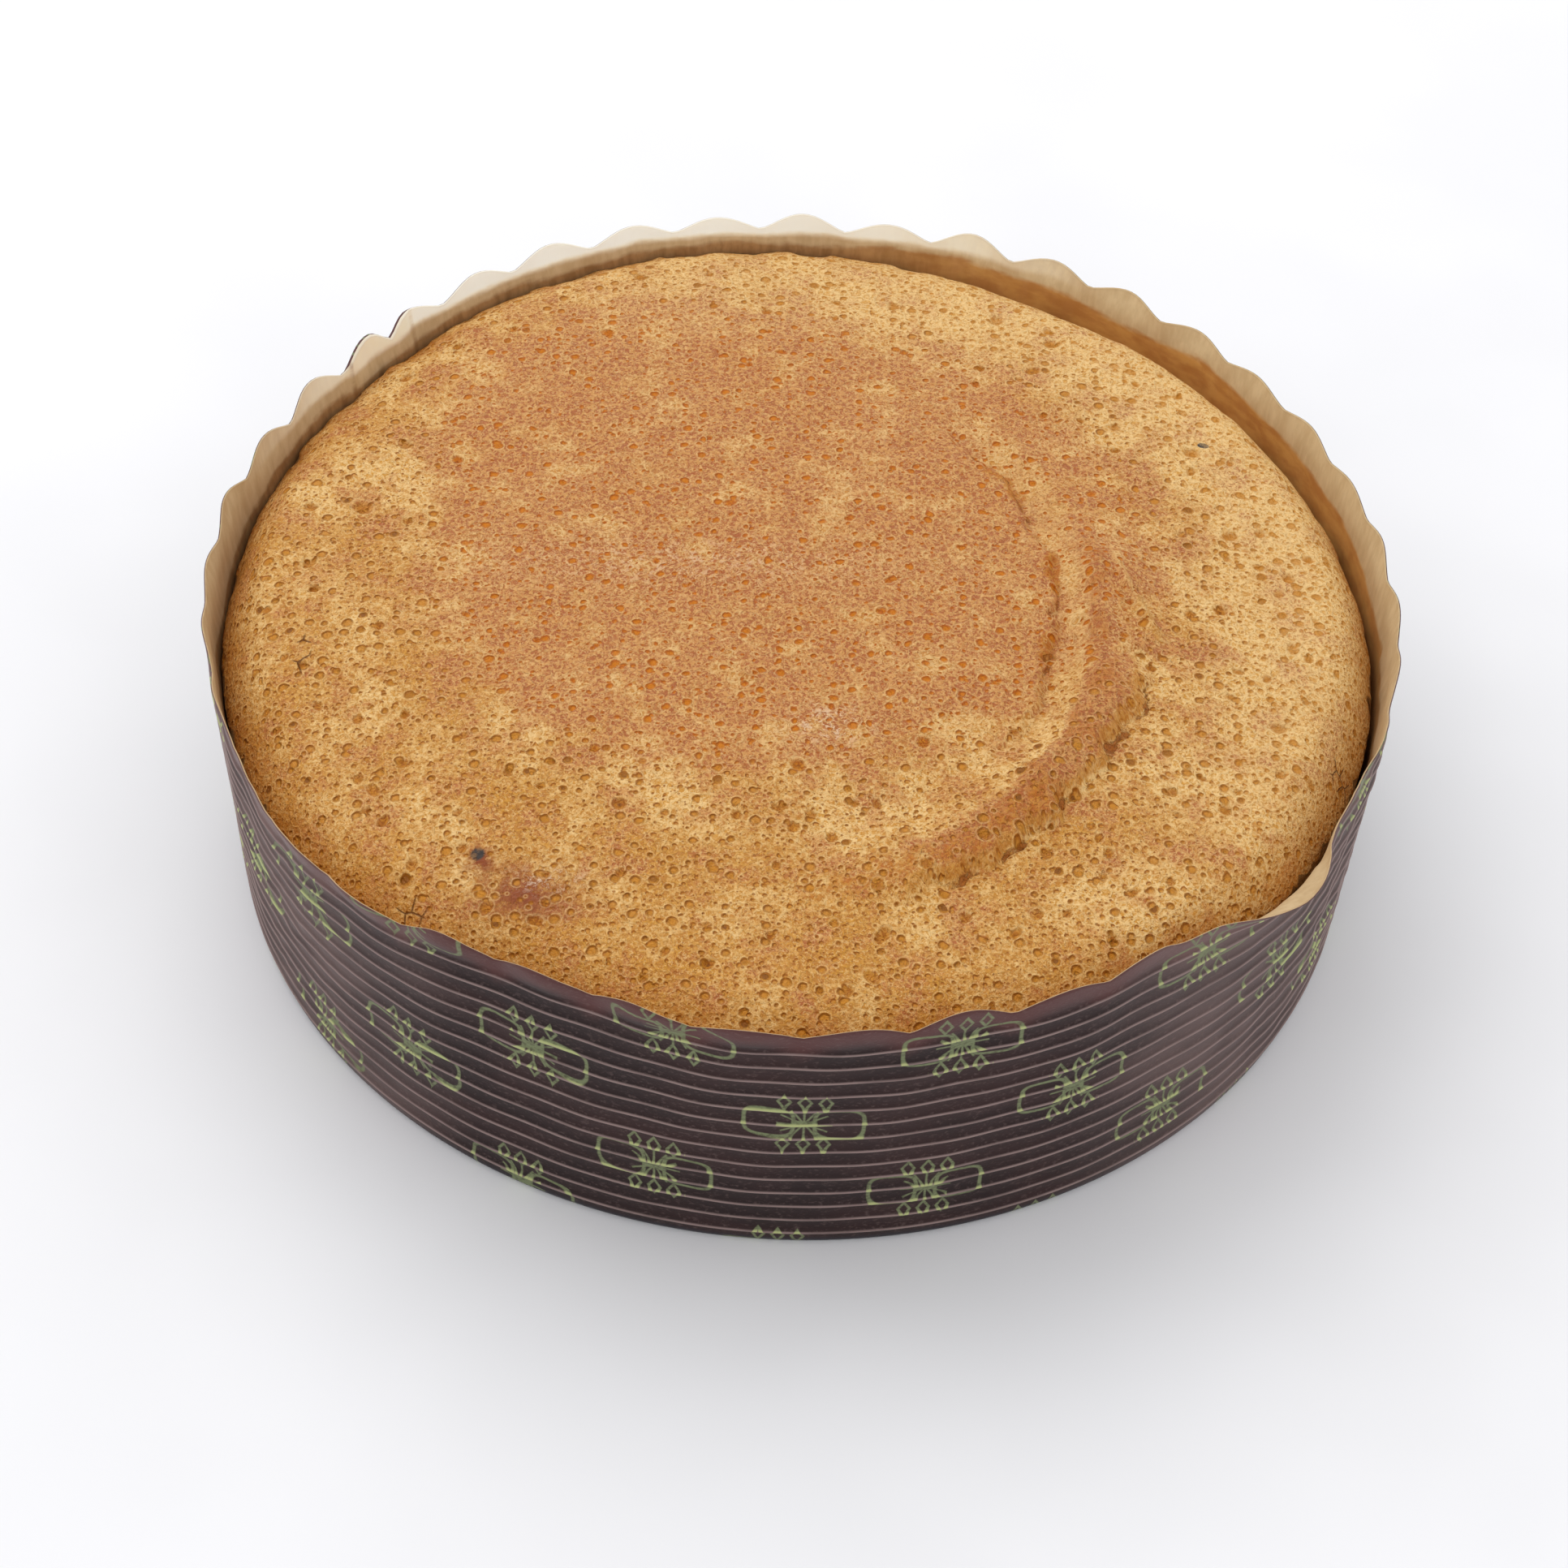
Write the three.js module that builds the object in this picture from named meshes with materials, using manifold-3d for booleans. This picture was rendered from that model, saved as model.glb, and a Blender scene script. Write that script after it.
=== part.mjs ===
// A round almond cake in its low corrugated paper baking case.
// Millimetres, +Z up. The case stands on z = 0 about the Z axis, and -Y is its front.

import * as THREE from 'three';
import { mergeVertices } from 'three/addons/utils/BufferGeometryUtils.js';
import Module from 'manifold-3d';

const wasm = await Module();
wasm.setup();

// ---- paper case ----
const BASE_RADIUS = 92.5; // outside of the band where it stands
const RIM_RADIUS = 96.2; // outside of the band at the scallop valleys
const WALL_HEIGHT = 52.3; // up to the scallop valleys
const WALL_THICKNESS = 0.9; // two plies of paper, without the ribs
const SEAM_THICKNESS = 0.6; // the band's other end, lapped inside
const SEAM_FROM = 137; // degrees round the case
const SEAM_TO = 147;
const SEAM_EDGE = 0.4; // degrees over which the lapped end steps down
const BOTTOM_ROUND = 1.1; // rolled bottom edge of the band

// ---- pressed ribs round the band ----
const RIB_COUNT = 14;
const RIB_FIRST = 2.9; // height of the lowest crest
const RIB_PITCH = 3.55;
const RIB_DEPTH = 0.45;

// ---- scalloped edge ----
const SCALLOP_COUNT = 39;
const SCALLOP_FROM = 144.1; // degrees, first peak beside the seam
const SCALLOP_PITCH = 9.316; // degrees from peak to peak
const SCALLOP_RISE = 3.4;
const SCALLOP_LEAN = 0.5; // the tips bend outwards by this much
const BENT_RISE = 1.3; // tips pressed outwards at the back right
const BENT_LEAN = 1.6;
const BENT_MIDDLE = 60;
const BENT_HALF = 30;
const FLAT_MIDDLE = 314; // stretch at the front right where the edge runs straight
const FLAT_HALF = 8;

// Outward and inward swells of the rim: degrees, half width in degrees, millimetres.
const RIM_SWELLS = [
  [107, 22, 1.0],
  [150, 26, -1.5],
  [220, 20, 1.7],
  [247, 15, -2.0],
  [272, 15, 1.0],
  [308, 13, -1.2],
  [323, 11, 1.0],
];

// ---- paper disc under the cake ----
const DISC_THICKNESS = 0.8;
const GAP = 0.3; // clearance between pieces that rest on each other

// ---- cake ----
const CAKE_SHRINK = 1.4; // the cake has drawn away from the paper at the right
const SHRINK_MIDDLE = 15;
const SHRINK_HALF = 75;
const CENTRE_HEIGHT = 56.5;
const DOME_FALL = 6.0; // centre of the top down to its shoulder
const SHOULDER_WIDTH = 14;
const SHOULDER_POWER = 2.4;
const EDGE_LOW = 41.5; // where the top meets the side, at its lowest
const EDGE_BACK = 6.3; // the back stands this much higher
const EDGE_FRONT = 3.5;
const CAKE_FOOT_ROUND = 1.6;

// The plateau in the middle ends at the right in a torn lip, with a groove inside it.
const LIP_X = -4.9;
const LIP_Y = -12.8;
const LIP_RADIUS = 57.7;
const LIP_HEIGHT = 3.0;
const LIP_FROM = -74; // degrees about the lip's own centre
const LIP_TO = 27;
const LIP_FADE = 16;
const LIP_SLOPE = 13; // the lip rises inwards over this width
const LIP_FACE = 1.6; // and drops outwards over this one
const GROOVE_X = -25.0;
const GROOVE_Y = -5.9;
const GROOVE_RADIUS = 65.6;
const GROOVE_DEPTH = 1.9;
const GROOVE_HALF = 2.6;
const GROOVE_FROM = -27;
const GROOVE_TO = 42;
const GROOVE_FADE = 15;

// Largest bubble holes in the crust.
const HOLE_COUNT = 46;
const HOLE_SMALLEST = 1.2; // radius
const HOLE_LARGEST = 2.2;
const HOLE_SINK = 0.25; // centre above the crust, as a share of the radius
const HOLE_SEED = 4211;

// ---- mesh density ----
const RIB_COLUMNS = 72;
const SCALLOP_COLUMNS = 6; // to each scallop
const SIDE_COLUMNS = 132;
const SHOULDER_INSETS = [0, 1.5, 4, 7.5, 11.5]; // rings that round the shoulder
const RING_SPACING = 4.6; // over the rest of the top
const RING_ARC = 4.4;
const COLUMN_STEP = 12; // counts of the top's rings are multiples of this
const STRIP_STEP = 3.2; // degrees between sections of the lip and the groove
const STRIP_SINK = 0.12; // their feathered margins lie this far under the crust
const STRIP_ROOT = 4;

const DEGREE = Math.PI / 180;

function clamp(value, low, high) {
  return Math.min(high, Math.max(low, value));
}

function smoothStep(from, to, value) {
  const t = clamp((value - from) / (to - from), 0, 1);
  return t * t * (3 - 2 * t);
}

// Degrees from one direction to another, the short way round.
function turnBetween(degrees, middle) {
  return ((((degrees - middle) % 360) + 540) % 360) - 180;
}

// A soft hill round a direction: 1 in the middle, 0 from the half width outwards.
function hill(degrees, middle, half) {
  const t = turnBetween(degrees, middle) / half;
  return Math.abs(t) >= 1 ? 0 : (1 - t * t) ** 2;
}

// The same with a broad flat top.
function plateau(degrees, middle, half) {
  const t = turnBetween(degrees, middle) / half;
  return Math.abs(t) >= 1 ? 0 : (1 - t ** 4) ** 2;
}

// ---------------- shape of the paper band ----------------

function bandRadius(degrees, z) {
  const height = z / WALL_HEIGHT;
  let swell = 0;
  for (const [middle, half, amount] of RIM_SWELLS) {
    swell += amount * hill(degrees, middle, half);
  }
  return BASE_RADIUS + (RIM_RADIUS - BASE_RADIUS) * height + swell * Math.max(height, 0) ** 1.5;
}

function bandInside(degrees, z) {
  const step = smoothStep(SEAM_FROM, SEAM_FROM + SEAM_EDGE, degrees);
  const back = smoothStep(SEAM_TO, SEAM_TO + SEAM_EDGE, degrees);
  return bandRadius(degrees, z) - WALL_THICKNESS - SEAM_THICKNESS * (step - back);
}

function scallopWave(degrees) {
  const stretched = degrees - 0.8 - 1.5 * Math.cos((degrees - 330) * DEGREE);
  const along = (((stretched - SCALLOP_FROM) % 360) + 360) % 360;
  const last = (SCALLOP_COUNT - 1) * SCALLOP_PITCH;
  const phase = along > last ? (along - last) / (360 - last) : along / SCALLOP_PITCH;
  return 0.5 + 0.5 * Math.cos(2 * Math.PI * phase);
}

function scallopRise(degrees) {
  const bent = hill(degrees, BENT_MIDDLE, BENT_HALF);
  const flat = plateau(degrees, FLAT_MIDDLE, FLAT_HALF);
  const full = SCALLOP_RISE + (BENT_RISE - SCALLOP_RISE) * bent;
  return full * (1 - flat) * scallopWave(degrees);
}

function scallopLean(degrees) {
  const bent = hill(degrees, BENT_MIDDLE, BENT_HALF);
  const full = SCALLOP_LEAN + (BENT_LEAN - SCALLOP_LEAN) * bent;
  return full * scallopWave(degrees);
}

// ---------------- shape of the cake ----------------

function cakeRadius(degrees, z) {
  const shrink = CAKE_SHRINK * plateau(degrees, SHRINK_MIDDLE, SHRINK_HALF);
  const lap = SEAM_THICKNESS * plateau(degrees, (SEAM_FROM + SEAM_TO) / 2, SEAM_TO - SEAM_FROM);
  return bandRadius(degrees, z) - WALL_THICKNESS - GAP - lap - shrink;
}

function edgeHeight(degrees) {
  const back = EDGE_BACK * plateau(degrees, 118, 62);
  const front = EDGE_FRONT * plateau(degrees, 265, 80);
  return EDGE_LOW + back + front;
}

// How far a direction lies inside an arc, 1 well inside and 0 outside.
function withinArc(degrees, from, to, fade) {
  return smoothStep(from - fade / 2, from + fade / 2, degrees)
    * (1 - smoothStep(to - fade / 2, to + fade / 2, degrees));
}

// The torn lip wanders in and out of its arc.
function lipRadius(degrees) {
  return LIP_RADIUS + 0.8 * Math.sin(degrees * 0.41) + 0.5 * Math.sin(degrees * 0.93 + 1);
}

// Height of the lip at a distance outwards from its edge.
function lipRise(degrees, out) {
  const rise = smoothStep(-LIP_SLOPE, -1, out) * (1 - smoothStep(-0.4, LIP_FACE, out));
  return LIP_HEIGHT * rise * withinArc(degrees, LIP_FROM, LIP_TO, LIP_FADE);
}

function grooveRadius(degrees) {
  return GROOVE_RADIUS + 0.5 * Math.sin(degrees * 0.7);
}

function grooveDepth(degrees, off) {
  const share = clamp(1 - Math.abs(off) / GROOVE_HALF, 0, 1);
  return GROOVE_DEPTH * share * withinArc(degrees, GROOVE_FROM, GROOVE_TO, GROOVE_FADE);
}

function swells(x, y) {
  const broad = 0.5 * Math.sin(x / 17 + 0.6) * Math.cos(y / 21 - 0.4);
  return broad + 0.25 * Math.sin(x / 7.3 + 1.9) * Math.sin(y / 8.1 + 0.7);
}

// Height of the crust without the lip and the groove.
function cakeTop(x, y) {
  const degrees = Math.atan2(y, x) / DEGREE;
  const edge = edgeHeight(degrees);
  const radius = cakeRadius(degrees, edge);
  const reach = Math.hypot(x, y);
  const inside = radius - reach;
  const drop = CENTRE_HEIGHT - DOME_FALL - edge;
  const shoulder = drop * clamp(1 - inside / SHOULDER_WIDTH, 0, 1) ** SHOULDER_POWER;
  const dome = CENTRE_HEIGHT - DOME_FALL * (reach / radius) ** 2;
  const quiet = smoothStep(0, 6, inside);
  return dome - shoulder + quiet * swells(x, y);
}

// ---------------- rings of points and the skin between them ----------------

class Skin {
  constructor() {
    this.points = [];
    this.faces = [];
  }

  // Adds a closed ring; place(degrees) gives [radius, z] for each direction.
  ring(directions, place) {
    const first = this.points.length / 3;
    for (const degrees of directions) {
      const [radius, z] = place(degrees);
      this.points.push(radius * Math.cos(degrees * DEGREE), radius * Math.sin(degrees * DEGREE), z);
    }
    return { first, directions };
  }

  pole(z) {
    this.points.push(0, 0, z);
    return this.points.length / 3 - 1;
  }

  // Joins two closed rings with any counts; the outside is on the right of a to b.
  join(a, b) {
    const countA = a.directions.length;
    const countB = b.directions.length;
    const degreesA = (i) => (i < countA ? a.directions[i] : 360 + a.directions[0]);
    const degreesB = (i) => (i < countB ? b.directions[i] : 360 + b.directions[0]);
    let i = 0;
    let j = 0;
    while (i < countA || j < countB) {
      const takeA = j >= countB || (i < countA && degreesA(i + 1) <= degreesB(j + 1));
      const atA = a.first + (i % countA);
      const atB = b.first + (j % countB);
      if (takeA) {
        this.faces.push(atA, a.first + ((i + 1) % countA), atB);
        i += 1;
      } else {
        this.faces.push(atA, b.first + ((j + 1) % countB), atB);
        j += 1;
      }
    }
  }

  joinAll(rings) {
    for (let k = 1; k < rings.length; k += 1) {
      this.join(rings[k - 1], rings[k]);
    }
  }

  // Closes a ring onto a point, facing the way the ring turns.
  cap(ring, pole, upward) {
    const count = ring.directions.length;
    for (let i = 0; i < count; i += 1) {
      const here = ring.first + i;
      const next = ring.first + ((i + 1) % count);
      this.faces.push(...(upward ? [here, next, pole] : [next, here, pole]));
    }
  }

  geometry() {
    const shape = new THREE.BufferGeometry();
    shape.setAttribute('position', new THREE.Float32BufferAttribute(this.points, 3));
    shape.setIndex(this.faces);
    return shape;
  }
}

function evenDirections(count) {
  return Array.from({ length: count }, (_, i) => (i * 360) / count);
}

// Even directions with a close pair at each end of the lapped seam.
function bandDirections(count) {
  const seam = [SEAM_FROM, SEAM_FROM + SEAM_EDGE, SEAM_TO, SEAM_TO + SEAM_EDGE];
  const clear = (d) => seam.every((s) => Math.abs(d - s) > 0.7);
  return [...evenDirections(count).filter(clear), ...seam].sort((p, q) => p - q);
}

// ---------------- solids joined and cut ----------------

function toSolid(geometry) {
  const bare = geometry.clone();
  bare.deleteAttribute('normal');
  bare.deleteAttribute('uv');
  const merged = mergeVertices(bare);
  return new wasm.Manifold(new wasm.Mesh({
    numProp: 3,
    vertProperties: new Float32Array(merged.attributes.position.array),
    triVerts: new Uint32Array(merged.index.array),
  }));
}

function toGeometry(solid) {
  const mesh = solid.getMesh();
  const shape = new THREE.BufferGeometry();
  shape.setAttribute('position', new THREE.Float32BufferAttribute(mesh.vertProperties, 3));
  shape.setIndex(new THREE.Uint32BufferAttribute(mesh.triVerts, 1));
  return shape;
}

// ---------------- the three pieces ----------------

function buildCaseWall() {
  const skin = new Skin();
  const coarse = bandDirections(RIB_COLUMNS);
  const fine = bandDirections(SCALLOP_COUNT * SCALLOP_COLUMNS);
  const outside = (z, out) => (d) => [bandRadius(d, z) + out, z];
  const inside = (z) => (d) => [bandInside(d, z), z];

  const rings = [skin.ring(coarse, outside(0, -BOTTOM_ROUND * 0.4))];
  rings.push(skin.ring(coarse, outside(BOTTOM_ROUND, 0)));
  for (let i = 0; i < RIB_COUNT; i += 1) {
    const crest = RIB_FIRST + i * RIB_PITCH;
    rings.push(skin.ring(coarse, outside(crest, RIB_DEPTH)));
    rings.push(skin.ring(coarse, outside(crest + RIB_PITCH / 2, 0)));
  }
  const shoulder = WALL_HEIGHT - 0.6;
  rings.push(skin.ring(fine, outside(shoulder, 0)));
  const tip = (d) => WALL_HEIGHT + scallopRise(d);
  rings.push(skin.ring(fine, (d) => [bandRadius(d, WALL_HEIGHT) + scallopLean(d), tip(d)]));
  rings.push(skin.ring(fine, (d) => [bandInside(d, WALL_HEIGHT) + scallopLean(d), tip(d)]));
  rings.push(skin.ring(fine, inside(shoulder)));
  rings.push(skin.ring(coarse, inside(WALL_HEIGHT * 0.6)));
  rings.push(skin.ring(coarse, inside(0)));
  rings.push(rings[0]);
  skin.joinAll(rings);
  return skin.geometry();
}

function buildCaseBase() {
  const insides = bandDirections(RIB_COLUMNS).map((d) => bandInside(d, 0));
  const radius = Math.min(...insides) - GAP;
  const disc = new THREE.CylinderGeometry(radius, radius, DISC_THICKNESS, RIB_COLUMNS);
  disc.rotateX(Math.PI / 2);
  disc.translate(0, 0, DISC_THICKNESS / 2);
  return disc;
}

// Insets of the top's rings from the edge, as shares of the radius.
function topShares() {
  const shares = SHOULDER_INSETS.map((inset) => 1 - inset / BASE_RADIUS);
  const last = SHOULDER_INSETS[SHOULDER_INSETS.length - 1];
  for (let inset = last + RING_SPACING; inset < BASE_RADIUS - 2; inset += RING_SPACING) {
    shares.push(1 - inset / BASE_RADIUS);
  }
  return shares;
}

function ringCount(share) {
  const ideal = (2 * Math.PI * share * BASE_RADIUS) / RING_ARC;
  return Math.max(COLUMN_STEP, COLUMN_STEP * Math.round(ideal / COLUMN_STEP));
}

function buildCakeBody() {
  const skin = new Skin();
  const side = evenDirections(SIDE_COLUMNS);
  const floor = DISC_THICKNESS + GAP;
  const edgePlace = (share) => (d) => {
    const radius = cakeRadius(d, edgeHeight(d)) * share;
    const x = radius * Math.cos(d * DEGREE);
    const y = radius * Math.sin(d * DEGREE);
    return [radius, cakeTop(x, y)];
  };
  const lower = skin.ring(side, (d) => [cakeRadius(d, floor) - CAKE_FOOT_ROUND, floor]);
  const rings = [lower];
  const foot = floor + CAKE_FOOT_ROUND;
  rings.push(skin.ring(side, (d) => [cakeRadius(d, foot), foot]));
  rings.push(skin.ring(side, (d) => [cakeRadius(d, edgeHeight(d) * 0.55), edgeHeight(d) * 0.55]));
  topShares().forEach((share, k) => {
    const count = k < SHOULDER_INSETS.length ? SIDE_COLUMNS : ringCount(share);
    rings.push(skin.ring(evenDirections(count), edgePlace(share)));
  });
  skin.joinAll(rings);
  skin.cap(lower, skin.pole(floor), false);
  skin.cap(rings[rings.length - 1], skin.pole(cakeTop(0, 0)), true);
  return skin.geometry();
}

// A closed strip along an arc of the crust, between a floor and a roof.
// Each is a function of (x, y, degrees, offset from the arc) and gives a height.
function arcStrip(centre, radiusAt, from, to, step, offsets, floor, roof) {
  const points = [];
  const faces = [];
  const sections = Math.round((to - from) / step);
  const across = offsets.length;
  for (let i = 0; i <= sections; i += 1) {
    const degrees = from + ((to - from) * i) / sections;
    for (const offset of offsets) {
      const reach = radiusAt(degrees) + offset;
      const x = centre[0] + reach * Math.cos(degrees * DEGREE);
      const y = centre[1] + reach * Math.sin(degrees * DEGREE);
      points.push(x, y, floor(x, y, degrees, offset));
      points.push(x, y, roof(x, y, degrees, offset));
    }
  }
  const low = (i, j) => 2 * (i * across + j);
  const high = (i, j) => low(i, j) + 1;
  const quad = (p, q, r, s) => faces.push(p, q, r, p, r, s);
  for (let i = 0; i < sections; i += 1) {
    for (let j = 0; j < across - 1; j += 1) {
      quad(high(i, j), high(i, j + 1), high(i + 1, j + 1), high(i + 1, j));
      quad(low(i, j), low(i + 1, j), low(i + 1, j + 1), low(i, j + 1));
    }
    quad(low(i, 0), high(i, 0), high(i + 1, 0), low(i + 1, 0));
    quad(low(i + 1, across - 1), high(i + 1, across - 1), high(i, across - 1), low(i, across - 1));
  }
  for (let j = 0; j < across - 1; j += 1) {
    quad(low(0, j), low(0, j + 1), high(0, j + 1), high(0, j));
    quad(low(sections, j + 1), low(sections, j), high(sections, j), high(sections, j + 1));
  }
  const shape = new THREE.BufferGeometry();
  shape.setAttribute('position', new THREE.Float32BufferAttribute(points, 3));
  shape.setIndex(faces);
  return shape;
}

function buildLip() {
  const offsets = [-LIP_SLOPE, -9, -5, -1, 0.4, LIP_FACE];
  const floor = (x, y) => cakeTop(x, y) - STRIP_ROOT;
  const roof = (x, y, degrees, out) => cakeTop(x, y) - STRIP_SINK + lipRise(degrees, out);
  const span = [LIP_FROM - LIP_FADE / 2, LIP_TO + LIP_FADE / 2];
  return arcStrip([LIP_X, LIP_Y], lipRadius, ...span, STRIP_STEP, offsets, floor, roof);
}

function buildGrooveCut() {
  const offsets = [-GROOVE_HALF, 0, GROOVE_HALF];
  const floor = (x, y, degrees, off) => cakeTop(x, y) + STRIP_SINK - grooveDepth(degrees, off);
  const roof = (x, y) => cakeTop(x, y) + STRIP_ROOT;
  const span = [GROOVE_FROM - GROOVE_FADE / 2, GROOVE_TO + GROOVE_FADE / 2];
  return arcStrip([GROOVE_X, GROOVE_Y], grooveRadius, ...span, STRIP_STEP, offsets, floor, roof);
}

// Repeatable draws between 0 and 1.
function draws(seed) {
  let state = seed;
  return () => {
    state = (state * 16807) % 2147483647;
    return state / 2147483647;
  };
}

function bubbleHoles() {
  const draw = draws(HOLE_SEED);
  const holes = [];
  while (holes.length < HOLE_COUNT) {
    const reach = (BASE_RADIUS - 8) * Math.sqrt(draw());
    const degrees = 360 * draw();
    const radius = HOLE_SMALLEST + (HOLE_LARGEST - HOLE_SMALLEST) * draw() ** 2;
    const x = reach * Math.cos(degrees * DEGREE);
    const y = reach * Math.sin(degrees * DEGREE);
    const apart = holes.every((h) => Math.hypot(h.x - x, h.y - y) > h.radius + radius + 2);
    const fromLip = Math.abs(Math.hypot(x - LIP_X, y - LIP_Y) - LIP_RADIUS + LIP_SLOPE / 2);
    if (apart && fromLip > LIP_SLOPE) {
      holes.push({ x, y, radius });
    }
  }
  return holes;
}

function buildCake() {
  let cake = toSolid(buildCakeBody()).add(toSolid(buildLip()));
  cake = cake.subtract(toSolid(buildGrooveCut()));
  for (const { x, y, radius } of bubbleHoles()) {
    const ball = new THREE.IcosahedronGeometry(radius, 0);
    ball.translate(x, y, cakeTop(x, y) + HOLE_SINK * radius);
    cake = cake.subtract(toSolid(ball));
  }
  return toGeometry(cake);
}

// ---------------- materials and the finished group ----------------

function crustMaterial() {
  return new THREE.MeshStandardMaterial({ color: '#cf9553', roughness: 0.75, metalness: 0 });
}

function brownPaperMaterial() {
  return new THREE.MeshStandardMaterial({ color: '#3d2a2a', roughness: 0.5, metalness: 0 });
}

function kraftMaterial() {
  return new THREE.MeshStandardMaterial({ color: '#8f7350', roughness: 0.85, metalness: 0 });
}

function piece(name, geometry, material) {
  const mesh = new THREE.Mesh(geometry, material);
  mesh.name = name;
  return mesh;
}

// Puts the middle of the whole footprint on the Z axis.
function centred(group) {
  const box = new THREE.Box3().setFromObject(group);
  const middle = box.getCenter(new THREE.Vector3());
  for (const mesh of group.children) {
    mesh.geometry.translate(-middle.x, -middle.y, -box.min.z);
    mesh.geometry.computeVertexNormals();
  }
  return group;
}

const group = new THREE.Group();
group.name = 'almond_cake';
group.add(piece('case_wall', buildCaseWall(), brownPaperMaterial()));
group.add(piece('case_base', buildCaseBase(), kraftMaterial()));
group.add(piece('cake', buildCake(), crustMaterial()));

export default centred(group);
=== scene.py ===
"""A round almond cake in its ribbed paper baking case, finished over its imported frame."""

import math

import bmesh
import bpy
import numpy as np
from bpy.props import FloatProperty, FloatVectorProperty, IntProperty, PointerProperty
from bpy.types import NodeSocket, Operator, Panel, PropertyGroup, Scene
from mathutils import Matrix, Vector


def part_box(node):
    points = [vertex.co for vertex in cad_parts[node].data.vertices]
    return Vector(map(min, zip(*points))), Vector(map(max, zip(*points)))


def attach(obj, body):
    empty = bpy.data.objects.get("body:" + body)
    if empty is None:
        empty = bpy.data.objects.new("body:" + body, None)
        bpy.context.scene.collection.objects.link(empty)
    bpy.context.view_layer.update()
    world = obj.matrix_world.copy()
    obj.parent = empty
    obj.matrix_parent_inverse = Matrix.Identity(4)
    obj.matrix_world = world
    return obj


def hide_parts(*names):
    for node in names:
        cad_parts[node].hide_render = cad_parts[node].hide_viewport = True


bl_info = {
    "name": "Almond cake in a paper case",
    "version": (1, 0, 0),
    "blender": (4, 5, 0),
    "location": "3D View > Sidebar > Cake",
    "description": "Builds the crust, the ribbed paper band, the paper disc and a plain stage",
    "category": "Object",
}

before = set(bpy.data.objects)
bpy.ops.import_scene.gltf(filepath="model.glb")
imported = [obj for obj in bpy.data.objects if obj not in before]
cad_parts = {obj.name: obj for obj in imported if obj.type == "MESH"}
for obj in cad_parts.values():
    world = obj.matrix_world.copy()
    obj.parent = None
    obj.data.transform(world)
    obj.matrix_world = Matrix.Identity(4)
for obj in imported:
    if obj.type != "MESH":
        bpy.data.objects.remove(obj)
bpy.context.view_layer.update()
disc_low, disc_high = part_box("case_base")

MM = 0.001

# The case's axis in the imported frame, in millimetres.
AXIS_X = (disc_low[0] + disc_high[0]) / 2 / MM
AXIS_Y = (disc_low[1] + disc_high[1]) / 2 / MM

# ---- sizes shared with the solids, in millimetres and degrees ----

BASE_RADIUS = 92.5
RIM_RADIUS = 96.2
WALL_HEIGHT = 52.3
WALL_THICKNESS = 0.9
SEAM_THICKNESS = 0.6
SEAM_FROM = 137
SEAM_TO = 147
SEAM_EDGE = 0.4
BOTTOM_ROUND = 1.1

RIB_COUNT = 14
RIB_FIRST = 2.9
RIB_PITCH = 3.55

SCALLOP_COUNT = 39
SCALLOP_FROM = 144.1
SCALLOP_PITCH = 9.316
SCALLOP_LEAN = 0.5
BENT_LEAN = 1.6
BENT_MIDDLE = 60
BENT_HALF = 30
FLAT_MIDDLE = 314
FLAT_HALF = 8

# Outward and inward swells of the rim: degrees, half width, millimetres.
RIM_SWELLS = ((107, 22, 1.0), (150, 26, -1.5), (220, 20, 1.7), (247, 15, -2.0))
RIM_SWELLS += ((272, 15, 1.0), (308, 13, -1.2), (323, 11, 1.0))

CASE_GAP = 0.3
CAKE_FLOOR = 1.1
CAKE_SHRINK = 0.7
SHRINK_MIDDLE = 15
SHRINK_HALF = 75
CENTRE_HEIGHT = 56.5
DOME_FALL = 6.0
SHOULDER_WIDTH = 9.5
SHOULDER_POWER = 2.4
EDGE_LOW = 41.5
EDGE_BACK = 6.3
EDGE_FRONT = 3.5
FOOT_ROUND = 1.6

LIP_X, LIP_Y = -4.9, -12.8
LIP_RADIUS = 57.7
LIP_FROM, LIP_TO, LIP_FADE = -74, 27, 16
LIP_SLOPE = 13
GROOVE_X, GROOVE_Y = -25.0, -5.9
GROOVE_RADIUS = 65.6
GROOVE_FROM, GROOVE_TO, GROOVE_FADE = -27, 42, 15
RIDGE_X, RIDGE_Y = -17.6, -9.4
RIDGE_RADIUS = 65.7

HOLE_COUNT = 46
HOLE_SMALLEST = 1.2
HOLE_LARGEST = 2.2
HOLE_SEED = 4211

# Centre of the crust's reddish middle, in millimetres.
BLUSH_X, BLUSH_Y = -4, 12
NO_PIT = -0.6  # the value that marks a place outside every pit

# The print on the band, in millimetres and degrees.
PRINT_ROW = 17.5
PRINT_PITCH = 25.714
PRINT_WIDTH = 42.4
PRINT_LOWEST = 12.0
PRINT_CLIMB = 16

# ---- mesh density ----

CRUST_STEPS = 290
SIDE_LEVELS = (0.985, 0.95, 0.88, 0.7, 0.4)  # shares of the edge's height
CASE_COLUMNS = SCALLOP_COUNT * 14
RIB_RINGS = (-1.1, -0.62, -0.36, -0.17, 0, 0.17, 0.36, 0.62, 1.1)  # about each rib's crest
TOP_RINGS = 8
INSIDE_RINGS = 20


# ---- soft steps and hills ----


def ease(start, end, value):
    t = np.clip((value - start) / (end - start), 0, 1)
    return t * t * (3 - 2 * t)


def pulse(value, start, full, still_full, end):
    """Rises from 0 to 1, stays and falls again."""
    return ease(start, full, value) * (1 - ease(still_full, end, value))


def polar(reach, degrees):
    turn = np.radians(degrees)
    return reach * np.cos(turn), reach * np.sin(turn)


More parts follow.
